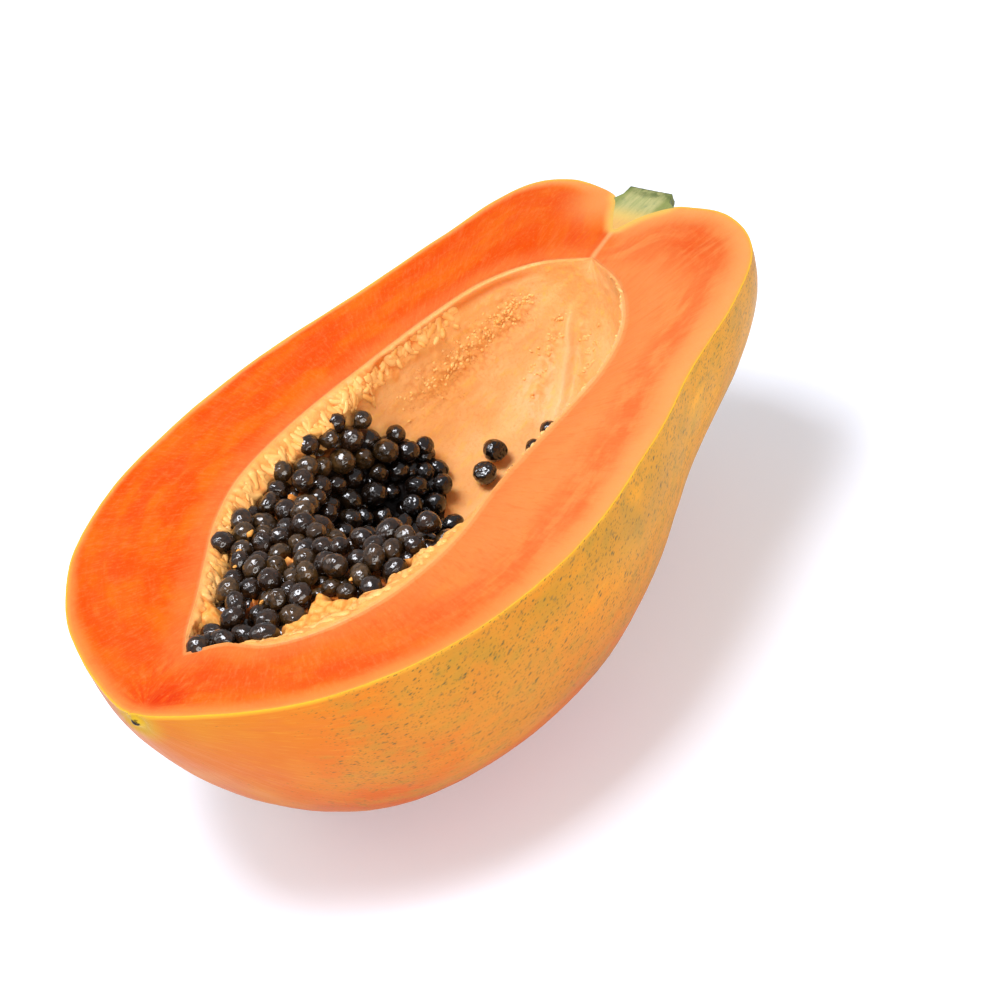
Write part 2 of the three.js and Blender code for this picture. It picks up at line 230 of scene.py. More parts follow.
def noise(points, size, seed=0):
    """Smooth noise in -1..1 with features about that size, at the points."""
    q = np.asarray(points, float) / size
    cell = np.floor(q).astype(np.int64)
    f = q - cell
    f = f * f * f * (f * (6 * f - 15) + 10)
    total = 0
    for corner in range(8):
        step = [(corner >> axis) & 1 for axis in range(3)]
        weight = np.prod([f[..., a] if step[a] else 1 - f[..., a] for a in range(3)], axis=0)
        total = total + weight * lattice_random(*(cell[..., a] + step[a] for a in range(3)), seed)
    return 2 * total - 1


def fractal(points, size, seed=0, octaves=3):
    """Noise with finer noise on it."""
    return sum(noise(points, size / 2**n, seed + n) / 2**n for n in range(octaves))


def bumpy(points, size, seed, sharp=1.0):
    """Rounded lumps in 0..1 of about that size."""
    return np.clip(0.5 + 0.5 * fractal(points, size, seed, 2), 0, 1) ** sharp


def crumpled(along, down, size, seed):
    """Rounded cells of uneven size on a flat sheet: 1 at their middles, 0 in their creases."""
    u, v = along / size[0], down / size[1]
    i, j = np.floor(u).astype(np.int64), np.floor(v).astype(np.int64)
    first, second = np.full(u.shape, 9.0), np.full(u.shape, 9.0)
    for corner in range(9):
        a, b = i + corner % 3 - 1, j + corner // 3 - 1
        at = [k + 0.1 + 0.8 * lattice_random(a, b, n + 0 * a, seed) for n, k in enumerate((a, b))]
        gap = np.hypot(u - at[0], v - at[1])
        second = np.minimum(second, np.maximum(first, gap))
        first = np.minimum(first, gap)
    return np.clip(1.5 * (second - first), 0, 1) ** 0.6


def normals_of(grid):
    """Unit normals of a grid of points, by its two directions."""
    return unit(np.cross(np.gradient(grid, axis=0), np.gradient(grid, axis=1)))


# ---- The part's own shapes ----

SKIN_FAR = [(a, b, e) for a, b, c, d, e in SKIN_STATIONS]
SKIN_NEAR = [(c, d, e) for a, b, c, d, e in SKIN_STATIONS]
CAVITY_FAR = [(a, b) for a, b, c, d in CAVITY_STATIONS]
CAVITY_NEAR = [(c, d) for a, b, c, d in CAVITY_STATIONS]


def skin_grid(t, angle, inset=0.0):
    """Points of the skin: rows along the fruit, columns round it, from the far rim at angle 0."""
    far, near = curve(SKIN_FAR, t), curve(SKIN_NEAR, t)
    middle = (far + near)[:, None, :2] / 2
    arm = (far - near)[:, None, :2] / 2
    ratio = (far[:, 2] + near[:, 2])[:, None] / 2
    length = np.linalg.norm(arm, axis=-1)
    inner = np.maximum(length - inset, 0)
    arm = arm * (inner / np.maximum(length, 1e-9))[..., None]
    lobe = (np.cos(LOBES * angle) - np.cos(angle))[None, :] / 2
    swell = 1 + LOBE_DEPTH * lobe * np.sqrt(np.maximum(np.sin(np.pi * t), 0))[:, None]
    flat = middle + arm * (np.cos(angle)[None, :] * swell)[..., None]
    depth = -inner * ratio * np.sin(angle)[None, :] * swell
    return np.concatenate([flat, depth[..., None]], axis=-1)


def cavity_section(s):
    """Middle, direction across and half width of the cavity's mouth, at shares s along it."""
    far, near = curve(CAVITY_FAR, s), curve(CAVITY_NEAR, s)
    middle, arm = (far + near) / 2, (far - near) / 2
    half = np.linalg.norm(arm, axis=1)
    across = arm / np.maximum(half, 1e-9)[:, None]
    return middle, across, half


ALONG = np.linspace(0, 1, 2001)
ALONG_X = cavity_section(ALONG)[0][:, 0]


def section_at(x):
    return cavity_section(np.clip(np.interp(x, ALONG_X, ALONG), 0.01, 0.99))


def lip_at(x, placenta, room):
    """Width and drop of the soft tissue along one rim of the cavity."""
    share = plateau(x, placenta["span"])
    teeth = 1 + TOOTH_DEPTH * np.sin(2 * np.pi * x / TOOTH_PITCH)
    width = np.minimum(LIP["width"] + placenta["width"] * share * teeth, 0.3 * room)
    drop = np.minimum(LIP["drop"] + placenta["drop"] * share, 0.3 * room)
    return width, drop


def ridge_rise(degrees):
    return RIDGE_HEIGHT * sum(bell(degrees, ridge, RIDGE_WIDTH) for ridge in PLACENTA_RIDGES)


def heap_end(share):
    """Where the heap of seeds ends towards the stem, at a share of the half width."""
    near = smoothstep(HEAP_NEAR_CUT["from"] - share, 0, HEAP_NEAR_CUT["from"] - HEAP_NEAR_CUT["to"])
    bulge = HEAP_FRONT["bulge"] * bell(share, HEAP_FRONT["at"], HEAP_FRONT["spread"])
    return HEAP_FRONT["x"] + bulge - HEAP_NEAR_CUT["back"] * near


def heap_points(x, share):
    """The surface through the seeds' centres."""
    middle, across, half = section_at(x)
    depth = half * CAVITY_DEPTH_RATIO
    flat = middle + across * (half * share)[:, None]
    opening = np.maximum(HOLLOW["size"] * smoothstep(x, HOLLOW["opens"], HOLLOW["full"]), 1e-6)
    hollow = depth * opening * np.sqrt(np.maximum(0, 1 - (share / opening) ** 2))
    far = smoothstep(x, RIM_LEVEL["from"], RIM_LEVEL["to"]) * smoothstep(share, -0.2, 0.4)
    top = np.maximum(lerp(RIM_LEVEL["near"], RIM_LEVEL["far"], far), hollow)
    floor = depth * np.sqrt(np.maximum(0, 1 - share**2)) - SEED_RADIUS[1]
    run_out = smoothstep(x, heap_end(share) - HEAP_SLOPE, heap_end(share))
    z = -lerp(top, np.maximum(top, floor), run_out)
    return np.column_stack([flat, z])


# ---- Meshes ----

MERGE_DISTANCE = 2e-6


class MeshParts:
    """Gathers vertices, faces, material numbers and point attributes of one closed mesh."""

    def __init__(self):
        self.points, self.faces, self.slots, self.values = [], [], [], {}
        self.count = 0

    def add(self, points, faces, slot=0, **values):
        points = np.asarray(points, float).reshape(-1, 3)
        faces = np.asarray(faces)
        if faces.shape[1] == 3:
            faces = faces[:, [0, 1, 2, 2]]
        self.points.append(points)
        self.faces.append(faces + self.count)
        self.slots.append(np.full(len(faces), slot))
        for name in {**self.values, **values}:
            known = self.values.setdefault(name, [np.zeros(self.count)] if self.count else [])
            known.append(np.broadcast_to(np.ravel(values.get(name, 0.0)), (len(points),)) * 1.0)
        self.count += len(points)

    def add_grid(self, grid, slot=0, flip=False, **values):
        grid = np.asarray(grid)
        rows, columns = grid.shape[:2]
        index = np.arange(rows * columns).reshape(rows, columns)
        a, b, c, d = index[:-1, :-1], index[1:, :-1], index[1:, 1:], index[:-1, 1:]
        faces = np.stack([a, d, c, b] if flip else [a, b, c, d], axis=-1).reshape(-1, 4)
        self.add(grid, faces, slot, **values)

    def build(self, name, *materials, merge=MERGE_DISTANCE):
        """The piece, with near points made one and the faces that this empties left out."""
        points = in_frame(np.vstack(self.points))
        keys = np.round(points / merge).astype(np.int64)
        _, first, index = np.unique(keys, axis=0, return_index=True, return_inverse=True)
        points = points[first]
        loops, totals, kept = [], [], []
        for number, face in enumerate(index.reshape(-1)[np.vstack(self.faces)].tolist()):
            corners = [v for k, v in enumerate(face) if v != face[k - 1]]
            if len(set(corners)) < 3:
                continue
            loops.extend(corners)
            totals.append(len(corners))
            kept.append(number)
        mesh = bpy.data.meshes.new(name)
        mesh.vertices.add(len(points))
        mesh.vertices.foreach_set("co", points.astype(np.float32).ravel())
        mesh.loops.add(len(loops))
        mesh.loops.foreach_set("vertex_index", loops)
        mesh.polygons.add(len(totals))
        mesh.polygons.foreach_set("loop_start", np.cumsum([0] + totals[:-1]))
        mesh.polygons.foreach_set("loop_total", totals)
        mesh.polygons.foreach_set("material_index", np.concatenate(self.slots)[kept].astype(np.int32))
        mesh.polygons.foreach_set("use_smooth", [True] * len(totals))
        mesh.update(calc_edges=True)
        mesh.validate()
        for material in materials:
            mesh.materials.append(material)
        for key, parts in self.values.items():
            attribute = mesh.attributes.new(key, "FLOAT", "POINT")
            attribute.data.foreach_set("value", np.concatenate(parts)[first].astype(np.float32))
        return add_object(name, mesh)


# ---- The half: skin, cut face and lining as one closed mesh ----

COLUMNS = 368
SKIN_ROWS = 56
CUT_ROWS = 20
LIP_ROWS = 10
BOWL_ROWS = 150
FIRST_ROW = 0.006  # radians under the cut face
FRUIT_MIDDLE = [100, 0, 0]
BLOSSOM_SCAR = np.array([0.4, -0.5, -2.9])
GIRTH_PER_RADIAN = 62
LINE_SPACING = 0.25

# [start, full, fade, end] along the fruit of each kind of tissue on the cavity's wall
SPANS = {
    "comb": (25, 33, 128, 158),
    "threads": (122, 132, 152, 168),
    "pad": (25, 31, 84, 104),
    "ridge": (112, 130, 172, 178),
    "strip": (124, 142, 166, 175),
    "above_ridge": (150, 159, 170, 176),
    "below_ridge": (158, 165, 172, 177),
    "stem_half": (112, 130, 168, 179),
    "beads": (104, 126, 172, 180),
}
COMB_PITCH = 3.3
COMB_RISE = 1.7
COMB_LENGTH = (5.0, 8.5)
# [x, degrees round the wall from the far rim] along the ridge in the floor of the stem half
FLOOR_RIDGE = [(118, 84), (150, 82), (159, 79), (169, 72), (176.5, 58), (179.5, 34)]
BESIDE_RIDGE = 15  # degrees from the ridge to the bumps on both sides of it
STRIP_AT = 26
OVER_CUT = 10.0  # height over the cut of the line that the whole wall faces

# [x, width of the pale flesh under the skin] on the near side; the far side has hardly any
UNDER_SKIN_NEAR = [(-5, 2.6), (20, 3.4), (60, 3.9), (110, 4.6), (150, 5.4), (188, 5), (200, 4.2), (215, 3)]
UNDER_SKIN_FAR = [(-5, 2.6), (12, 2.9), (34, 2), (62, 1.2), (170, 1.2), (195, 1.8), (215, 2.4)]


def facing(normals, towards):
    """The normals, turned over where they point away."""
    return normals * np.sign((normals * towards).sum(-1, keepdims=True))


def outline_shares(s):
    """Shares along the fruit's outline that face the shares s of the cavity's rim."""
    outer = arc_lengths(curve(SKIN_FAR, ALONG)[:, :2])
    inner = arc_lengths(curve(CAVITY_FAR, ALONG))
    reached = np.interp(s, ALONG, inner / inner[-1])
    return np.interp(reached, outer / outer[-1], ALONG)


def skin_surface(t):
    """Points of the skin, with its soft waves and the scar of the blossom, and its columns' angles."""
    angle = np.linspace(0, np.pi, SKIN_ROWS + 1)
    angle[1], angle[-2] = FIRST_ROW, np.pi - FIRST_ROW
    grid = skin_grid(t, angle)
    outward = facing(normals_of(grid), grid - FRUIT_MIDDLE)
    waves = 0.3 * fractal(grid, 34, 3) + 0.07 * fractal(grid, 7, 8)
    away = np.linalg.norm(grid - BLOSSOM_SCAR, axis=-1)
    nub = 0.55 * bell(away, 0, 1.3) - 0.45 * bell(away, 2.6, 1.4)
    room = plateau(t, (0, 0.06, 0.86, 0.93))[:, None]
    grid = grid + outward * (waves * room + nub)[..., None]
    grid[:, [0, -1], 2] = 0
    grid[..., 2] = np.clip(grid[..., 2], FLOOR_LEVEL, 0)
    return grid, angle


def smooth_wall(middle, across, half):
    """The cavity's wall without its tissue, and the degrees round it of each column."""
    x, depth = middle[:, :1], half * CAVITY_DEPTH_RATIO
    far_width, far_drop = lip_at(x, FAR_PLACENTA, half)
    near_width, near_drop = lip_at(x, NEAR_PLACENTA, half)
    w = np.linspace(0, 1, LIP_ROWS + 1)[:-1]
    even = np.linspace(0, 1, BOWL_ROWS + 1)
    angle = np.pi * (even - 0.075 * np.sin(2 * np.pi * even))
    side = angle / np.pi
    lip = np.where(angle < np.pi / 2, far_width, near_width)
    start = lerp(far_drop, near_drop, side)
    rise = ridge_rise(side * 180) * np.minimum(1, half / RIDGE_FADE)
    reach = [
        half - far_width * w,
        np.maximum(0.05 * half, half - lip) * np.cos(angle),
        -(half - near_width * w[::-1]),
    ]
    fall = [
        far_drop * w**1.5,
        start + np.maximum(0, depth - start - rise) * np.sin(angle),
        near_drop * w[::-1] ** 2,
    ]
    flat = middle[:, None, :] + across[:, None, :] * np.concatenate(reach, axis=1)[..., None]
    grid = np.concatenate([flat, -np.concatenate(fall, axis=1)[..., None]], axis=-1)
    return grid, np.concatenate([0 * w, side * 180, 180 + 0 * w])[None, :]


def on_wall(along, down):
    """Places on the unrolled wall, for noise that follows it."""
    return np.stack([along, down, np.zeros(np.shape(along))], -1)


def wall_measures(s):
    """The smooth wall, how far its points lie from the rims, and where each kind of tissue grows."""
    middle, across, half = cavity_section(s)
    half = half[:, None]
    grid, degrees = smooth_wall(middle, across, half)
    steps = np.linalg.norm(np.diff(grid, axis=1), axis=-1)
    down = np.concatenate([np.zeros((len(s), 1)), np.cumsum(steps, axis=1)], axis=1)
    up = down[:, -1:] - down
    along = np.broadcast_to(middle[:, :1], down.shape)
    warp = 1.1 * noise(on_wall(along, down), 4, 27)
    within = {name: plateau(along, span) for name, span in SPANS.items()}
    made = {"middle": middle, "half": half, "grid": grid, "degrees": degrees, "along": along}
    return SimpleNamespace(**made, down=down, up=up, rim=np.minimum(down, up), warp=warp, within=within)


def far_placenta(wall):
    """Crumpled folds that run down from the far rim, each of its own length, and threads beyond them."""
    along, down = wall.along, wall.down
    flow = on_wall(along, 0.35 * down)
    phase = along / COMB_PITCH + 0.8 * noise(flow, 8, 21) + 0.3 * noise(flow, 3.5, 22)
    strength = 0.25 + 0.75 * bumpy(on_wall(along, 0.5 * down), 4.5, 31)
    ends = lerp(*COMB_LENGTH, bumpy(on_wall(along, 0 * down), 4, 25))
    comb = plateau(down, (0.1, 2.2, ends, ends + 2.6)) * wall.within["comb"]
    cells = crumpled(along + wall.warp, 0.8 * down + wall.warp, (2.9, 3.6), 29)
    folds = 0.45 * np.abs(np.sin(np.pi * phase)) ** 0.7 + 0.55 * cells
    lumps = bumpy(wall.grid, 2.3, 33)
    creases = np.clip(1 - folds * (0.5 + 0.5 * strength) - 0.3 * lumps, 0, 1)
    threads = bumpy(on_wall(0.8 * along, 0.5 * down), 2.6, 35, 2.5)
    threads = plateau(down, (3, 6, 9, 17)) * wall.within["threads"] * threads
    return {
        "height": COMB_RISE * comb * (folds * strength + 0.45 * lumps - 0.35) + threads,
        "pulpy": comb + threads,
        # crest: the folds' tops paler, partly painted highlight, and the pale threads
        "crest": comb * folds * strength + threads,
        # valley_shade: painted shade, a darker orange in the creases between the folds
        "valley_shade": comb * creases,
    }


def near_placenta(wall):
    """A softer pad under the near rim, with painted shade between its lumps."""
    pad = plateau(wall.up, (0.2, 1.4, 9, 13)) * wall.within["pad"]
    lumps = bumpy(on_wall(0.6 * wall.along, wall.up), 2.4, 41)
    lumps = 0.5 * lumps + 0.5 * crumpled(wall.along, wall.up + wall.warp, (3.2, 2.2), 43)
    return {"height": 0.9 * pad * (lumps - 0.3), "pulpy": pad, "valley_shade": 0.5 * pad * (1 - lumps)}


def torn_tissue(wall):
    """A speckled strip in the stem half, and bumps on both sides of a ridge."""
    degrees, within = wall.degrees, wall.within
    ridge_at = np.interp(wall.middle[:, :1], *np.array(FLOOR_RIDGE).T)
    ridge = bell(degrees, ridge_at, 4.0) * within["ridge"]
    strip = bell(degrees, STRIP_AT, 10) * within["strip"]
    knots = 0.5 * bumpy(wall.grid, 2.0, 51, 1.5) + 0.7 * bumpy(wall.grid, 1.2, 53, 1.5)
    beside = bell(degrees, ridge_at - BESIDE_RIDGE, 5) * within["above_ridge"]
    beside = beside + bell(degrees, ridge_at + BESIDE_RIDGE, 4) * within["below_ridge"]
    return {
        "height": 0.9 * strip * knots + 1.1 * ridge + 1.1 * beside * knots,
        "crest": beside * knots,
        "strip": strip + 0.6 * beside,
        "pale": 0.6 * ridge,
    }


def rim_tissue(wall):
    """A thin lip over a shallow groove along the rim of the stem half, with beads on the near side. The
    groove gets painted shade.
    """
    far_side = wall.down < wall.up
    lip = bell(wall.rim, 0.9, 0.6) * wall.within["stem_half"]
    groove = bell(wall.rim, 3.0, 1.3) * wall.within["stem_half"] * far_side
    beads = bell(wall.rim, 0.9, 0.7) * wall.within["beads"] * ~far_side
    beads = beads * bumpy(wall.grid, 1.6, 61, 1.6)
    height = 0.3 * lip - 0.45 * groove + 0.6 * beads
    return {"height": height, "valley_shade": 0.8 * groove, "pale": 0.15 * lip + beads}


def lining_surface(s):
    """Points of the wall with its tissue, the values that its look needs, and the wall's measures."""
    wall = wall_measures(s)
    tissues = [grow(wall) for grow in (far_placenta, near_placenta, torn_tissue, rim_tissue)]
    names = "height", "pulpy", "crest", "valley_shade", "strip", "pale"
    total = {name: sum(tissue.get(name, 0) for tissue in tissues) for name in names}
    swells = 0.14 * fractal(wall.grid * [0.45, 1, 1], 4, 71) + 0.06 * fractal(wall.grid, 1.5, 75, 2)
    room = smoothstep(wall.half, 1, 7) * smoothstep(wall.rim, 0, 0.6)
    height = (total.pop("height") + swells) * room
    axis = np.concatenate([wall.middle, np.full((len(s), 1), OVER_CUT)], axis=1)[:, None, :]
    inward = facing(normals_of(wall.grid), axis - wall.grid)
    grid = wall.grid + inward * height[..., None]
    grid[:, [0, -1], 2] = 0
    values = {name: np.clip(value, 0, 1) for name, value in total.items()}
    return grid, {**values, "rim": wall.rim}, (wall.middle[:, 0], wall.down, inward)


def refined(line):
    """Points along the line at an even, small spacing."""
    walked = arc_lengths(line)
    return along_line(line, walked, np.arange(0, walked[-1], LINE_SPACING))


def distances(grid, line):
    """Distance from each point of a grid to the nearest of a line's points, seen from above."""
    points = grid.reshape(-1, 3)
    nearest = np.full(len(points), 1e9)
    block = 2000
    for start in range(0, len(points), block):
        gap = points[start : start + block, None, :2] - line[None, :, :2]
        nearest[start : start + block] = np.sqrt((gap**2).sum(-1).min(1))
    return nearest.reshape(grid.shape[:2])


def cut_surface(outer, inner, outline, rims):
    """The level cut between a rim of the skin and a rim of the cavity."""
    share = np.concatenate([[0, 0.004], np.linspace(0, 1, CUT_ROWS)[1:-1], [0.985, 1]])
    grid = outer[:, None, :] + (inner - outer)[:, None, :] * share[None, :, None]
    edge, core = distances(grid, outline), distances(grid, rims)
    level = grid * [1, 1, 0]
    sink = 0.1 + 0.1 * fractal(level, 9, 5) + 0.05 * fractal(level, 2.5, 7, 2)
    sink = np.maximum(sink, 0) + 0.3 * np.exp(-core / 1.4)
    sink = sink * smoothstep(edge, 0, 0.5) * smoothstep(core, 0, 0.35)
    grid[:, 1:-1, 2] -= sink[:, 1:-1]
    grid[:, -1] = inner
    around = np.broadcast_to(arc_lengths(outer)[:, None], edge.shape)
    near = smoothstep(-grid[..., 1], -6, 8)
    tables = (np.array(table).T for table in (UNDER_SKIN_FAR, UNDER_SKIN_NEAR))
    zone = lerp(*(np.interp(grid[..., 0], *table) for table in tables), near)
    return grid, {"edge": edge, "core": core, "around": around, "zone": zone}


def papaya_mesh():
    """The half, and the wall of its cavity for what grows on it."""
    s = np.linspace(0, 1, COLUMNS + 1)
    t = outline_shares(s)
    skin, angle = skin_surface(t)
    lining, tissue, wall = lining_surface(s)
    outline = np.vstack([refined(skin[:, column, :2]) for column in (0, -1)])
    fine = np.linspace(0, 1, 8 * COLUMNS + 1)
    rims = np.vstack([curve(side, fine) for side in (CAVITY_FAR, CAVITY_NEAR)])
    parts = MeshParts()
    length = np.broadcast_to(arc_lengths(curve(SKIN_FAR, t)[:, :2])[:, None], skin.shape[:2])
    girth = np.broadcast_to(angle[None, :] * GIRTH_PER_RADIAN, skin.shape[:2])
    parts.add_grid(skin, around=length, girth=girth)
    for column, sign in ((0, 1), (-1, -1)):
        grid, values = cut_surface(skin[:, column], lining[:, column], outline, rims)
        values["around"] = values["around"] * sign
        parts.add_grid(grid, 1, flip=sign > 0, **values)
    parts.add_grid(lining, 2, flip=True, **tissue)
    piece = parts.build("papaya_flesh", skin_look(), flesh_look(), lining_look())
    return piece, (lining, *wall)


# ---- Shreds of placenta on the wall of the cavity ----

PALE = (0.1, 0.7)
PALER = (0.7, 1.0)
# [x from and to, how far below the rim they start, length, radius, how far the free end stands off,
#  spread of their direction in degrees, share of the radius that stands out, how pale, number]
FAR_SHREDS = [
    ((36, 126), (0.7, 1.8), (5.0, 8.5), (0.9, 1.45), (0.0, 0.6), 12, -0.35, PALE, 46),
    ((40, 122), (2.0, 6.0), (2.0, 4.2), (0.7, 1.2), (0.0, 0.5), 40, -0.4, PALE, 34),
    ((44, 126), (3.0, 7.0), (3.0, 5.5), (0.5, 0.8), (0.2, 0.9), 30, 0.0, PALE, 14),
    ((98, 124), (4.0, 8.0), (3.5, 6.5), (0.9, 1.3), (0.1, 0.6), 40, -0.1, PALE, 10),
    ((114, 154), (0.8, 2.4), (3.2, 5.6), (1.1, 1.8), (0.0, 0.2), 22, -0.5, PALE, 24),
    ((116, 156), (1.5, 6.5), (1.6, 3.2), (0.9, 1.4), (0.0, 0.2), 60, -0.4, PALE, 26),
    ((126, 150), (2.0, 6.0), (2.6, 4.5), (0.7, 1.0), (0.0, 0.4), 35, -0.1, PALE, 8),
]
NEAR_SHREDS = [
    ((30, 100), (1.0, 2.5), (4.0, 8.0), (1.0, 1.7), (0.0, 0.4), 30, -0.45, PALE, 40),
    ((30, 98), (2.5, 9.0), (1.6, 3.4), (0.8, 1.4), (0.0, 0.5), 70, -0.35, PALE, 46),
    ((34, 94), (4.0, 9.5), (2.0, 4.0), (0.4, 0.7), (0.2, 0.8), 60, 0.1, PALE, 16),
    ((104, 178), (0.5, 1.5), (0.5, 1.8), (0.3, 0.65), (0.0, 0.2), 90, 0.0, PALER, 70),
]
# patches of small bumps: [x, degrees round the wall, spread in x and in degrees, number]
BUMPS = [
    (173, 54, 1.2, 3, 10),
    (170, 61, 1.5, 3, 14),
    (166, 57, 1.8, 4, 14),
    (161, 61, 2.0, 4, 10),
    (155, 66, 1.8, 3, 6),
    (173.5, 87, 1.2, 2.5, 12),
    (171, 90, 1.5, 3, 12),
    (167, 88, 1.8, 3, 12),
    (160, 94, 2.0, 3, 6),
    (132, 27, 4.0, 6, 10),
    (140, 26, 4.0, 6, 26),
    (148, 26, 4.0, 6, 38),
    (156, 25, 4.0, 5, 44),
    (163, 25, 3.5, 5, 50),
    (169, 24, 3.0, 4, 44),
]
BUMP_LENGTHS = (0.3, 0.9)
BUMP_RADII = (0.4, 0.75)
BUMP_PALENESS = (0.2, 0.7)
BUMP_STANDS_OUT = -0.35
SHRED_DRAW = 77  # starts the random draws
SHRED_SIDES = 9
SHRED_STEPS = 8
SHRED_FLATNESS = 0.8
SHRED_BEND = 0.7


def wall_place(wall, x, run, far_side):
    """A point of the wall that far down from a rim, and the direction that stands out from it."""
    grid, xs, down, inward = wall
    row = int(np.abs(xs - x).argmin())
    along = down[row] if far_side else down[row, -1] - down[row]
    column = int(np.abs(along - run).argmin())
    return grid[row, column], inward[row, column]


def smoothed(line):
    """The line with its corners rounded off, its ends kept."""
    for _ in range(3):
        line[1:-1] = (line[:-2] + 2 * line[1:-1] + line[2:]) / 4
    return line


def add_shred(parts, wall, number, start, length, turn, radius, lift, out, pale, far_side=True):
    """One soft closed thread along the wall, whose far end stands off it."""
    share = np.linspace(0, 1, SHRED_STEPS)
    angle = turn + SHRED_BEND * math.sin(number) * share
    places = zip(start[0] + length * share * np.sin(angle), start[1] + length * share * np.cos(angle))
    pairs = [wall_place(wall, x, run, far_side) for x, run in places]
    points, outs = (smoothed(np.array(part)) for part in zip(*pairs))
    centre = points + outs * (out * radius + lift * share**2)[:, None]
    ahead = unit(np.gradient(centre, axis=0))
    across = unit(np.cross(ahead, outs))
    above = np.cross(across, ahead)
    around = np.linspace(0, 2 * np.pi, SHRED_SIDES + 1)
    thick = radius * np.sqrt(np.maximum(1 - np.abs(2 * share - 1) ** 2.6, 0)) * (1 - 0.3 * share)
    ring = np.cos(around)[:, None, None] * across + SHRED_FLATNESS * np.sin(around)[:, None, None] * above
    uneven = 1 + 0.3 * fractal(centre[None] + ring * radius + 0.3 * number, 2.2, 101, 2)
    uneven[-1] = uneven[0]
    grid = centre[None] + ring * (thick * uneven)[..., None]
    grid[:, 0], grid[:, -1] = centre[0], centre[-1]
    # low: the side of each shred that faces the wall, where its look paints shade
    low = (0.5 - 0.5 * np.sin(around)[:, None] * np.ones((1, len(share)))) * min(1, 0.15 + 0.4 * length)
    root = np.broadcast_to(1 - share[None, :], low.shape)
    parts.add_grid(grid, root=root, low=low, pale=pale)


def shreds_mesh(wall):
    draw = random.Random(SHRED_DRAW)
    parts = MeshParts()
    number = 0
    for table, far_side in ((FAR_SHREDS, True), (NEAR_SHREDS, False)):
        for span, starts, lengths, radii, lifts, spread, out, paleness, count in table:
            for place in range(count):
                number += 1
                start = lerp(*span, (place + draw.random()) / count), draw.uniform(*starts)
                turn = math.radians(draw.uniform(-spread, spread))
                pale = draw.uniform(*paleness)
                sizes = draw.uniform(*lengths), turn, draw.uniform(*radii), draw.uniform(*lifts)
                add_shred(parts, wall, number, start, *sizes, out, pale, far_side)
    xs, down = wall[1:3]
    for x, degrees, spread_x, spread, count in BUMPS:
        girth = down[int(np.abs(xs - x).argmin()), -1]
        for _ in range(count):
            number += 1
            run = girth * draw.gauss(degrees, 0.6 * spread) / 180
            start = draw.gauss(x, 0.6 * spread_x), run
            sizes = draw.uniform(*BUMP_LENGTHS), draw.uniform(0, 6.3), draw.uniform(*BUMP_RADII), 0.0
            add_shred(parts, wall, number, start, *sizes, BUMP_STANDS_OUT, draw.uniform(*BUMP_PALENESS))
    return parts.build("placenta_shreds", shred_look())


# ---- The stem stub ----

STEM_ROWS = 28
STEM_SIDES = 40
STEM_OVERLAP = 0.3
STEM_ROOT = 0.998
STEM_PROUD = 0.03
STEM_RAGGED = (209, 211)  # from and to this x
STEM_FREE = (204, 208)
STEM_GREENING = (194, 207)
COLLARS = (0, 0.4, 0.85, 1)
END_RINGS = (0.8, 0.55, 0.28)


def stem_wall(angle):
    """The bark, from the root in its pit to the end, in rows of the angles."""
    rows = list(skin_grid(np.linspace(STEM_ROOT, PIT_MOUTH, STEM_ROWS), angle, -STEM_OVERLAP))
    for share in COLLARS:
        x, y, radius = lerp(STEM_NECK, STEM_END, share)
        rows.append(np.column_stack([0 * angle + x, y + radius * np.cos(angle), -radius * np.sin(angle)]))
    wall = np.array(rows)
    outward = unit(wall - wall.mean(axis=1, keepdims=True))
    free = smoothstep(wall[..., 0], *STEM_FREE)
    ribs = 0.28 * np.cos(5 * angle)[None, :] + 0.16 * fractal(wall * [0.25, 1, 1], 1.6, 91)
    wall = wall + outward * (ribs * free)[..., None]
    ragged = smoothstep(wall[..., 0], *STEM_RAGGED)
    wall[..., 0] += free * 0.25 * fractal(wall, 2.6, 93) * ragged
    wall[:, [0, -1], 2] = STEM_PROUD
    return wall


def stem_cut(wall):
    """The level cut between the two edges of the bark."""
    share = np.concatenate([[0, 0.004], np.linspace(0, 1, 17)[1:-1], [0.996, 1]])
    dome = np.sin(np.pi * share)[None, :]
    face = wall[:, :1] + (wall[:, -1:] - wall[:, :1]) * share[None, :, None]
    grain = 0.06 * noise(face * [0.12, 1, 1], 0.8, 95) * dome
    face[..., 2] = STEM_PROUD + grain - 0.06 * dome
    face[:, 0], face[:, -1] = wall[:, 0], wall[:, -1]
    return face


def stem_end(ring, chord):
    """The uneven end, in rings from its edge to its middle."""
    centre = ring[[0, -1]].mean(0) + [0, 0, -0.4 * STEM_END[2]]
    edge = np.concatenate([ring, chord[::-1][1:]])
    inner = [centre + (edge - centre) * share for share in END_RINGS]
    end = np.array([edge, *inner, 0 * edge + centre])
    end[1:, :, 0] += 0.22 * fractal(end[1:], 1.8, 97)
    return end


def stem_mesh():
    wall = stem_wall(np.linspace(0, np.pi, STEM_SIDES + 1))
    face = stem_cut(wall)
    edge = np.concatenate([wall[0], face[0][::-1][1:]])
    parts = MeshParts()
    for grid, slot, flip in ((wall, 0, False), (face, 1, True)):
        parts.add_grid(grid, slot, flip=flip, root=smoothstep(grid[..., 0], *STEM_GREENING))
    parts.add_grid(stem_end(wall[-1], face[-1]), 2, root=1.0)
    parts.add_grid([edge, 0 * edge + wall[0].mean(0)], flip=True, root=0.0)
    return parts.build("stem_stub", bark_look(), cut_stem_look(), end_look())


# ---- Seeds and the pulp that holds them ----

SEED_PITCH = 5.9
ROW_PITCH = 5.2
SEED_JITTER = 1.3
SIZES = (2.5, 3.35)
PROUD = (-1.9, 1.5)  # of the heap's surface
MISSING = 0.07
SETTLING_STEPS = 70
# how deep two soft coats may sink into each other, and the share of the rest taken up at each step
OWN_LAYER = (0.3, 0.4)
OTHER_LAYER = (1.2, 0.5)
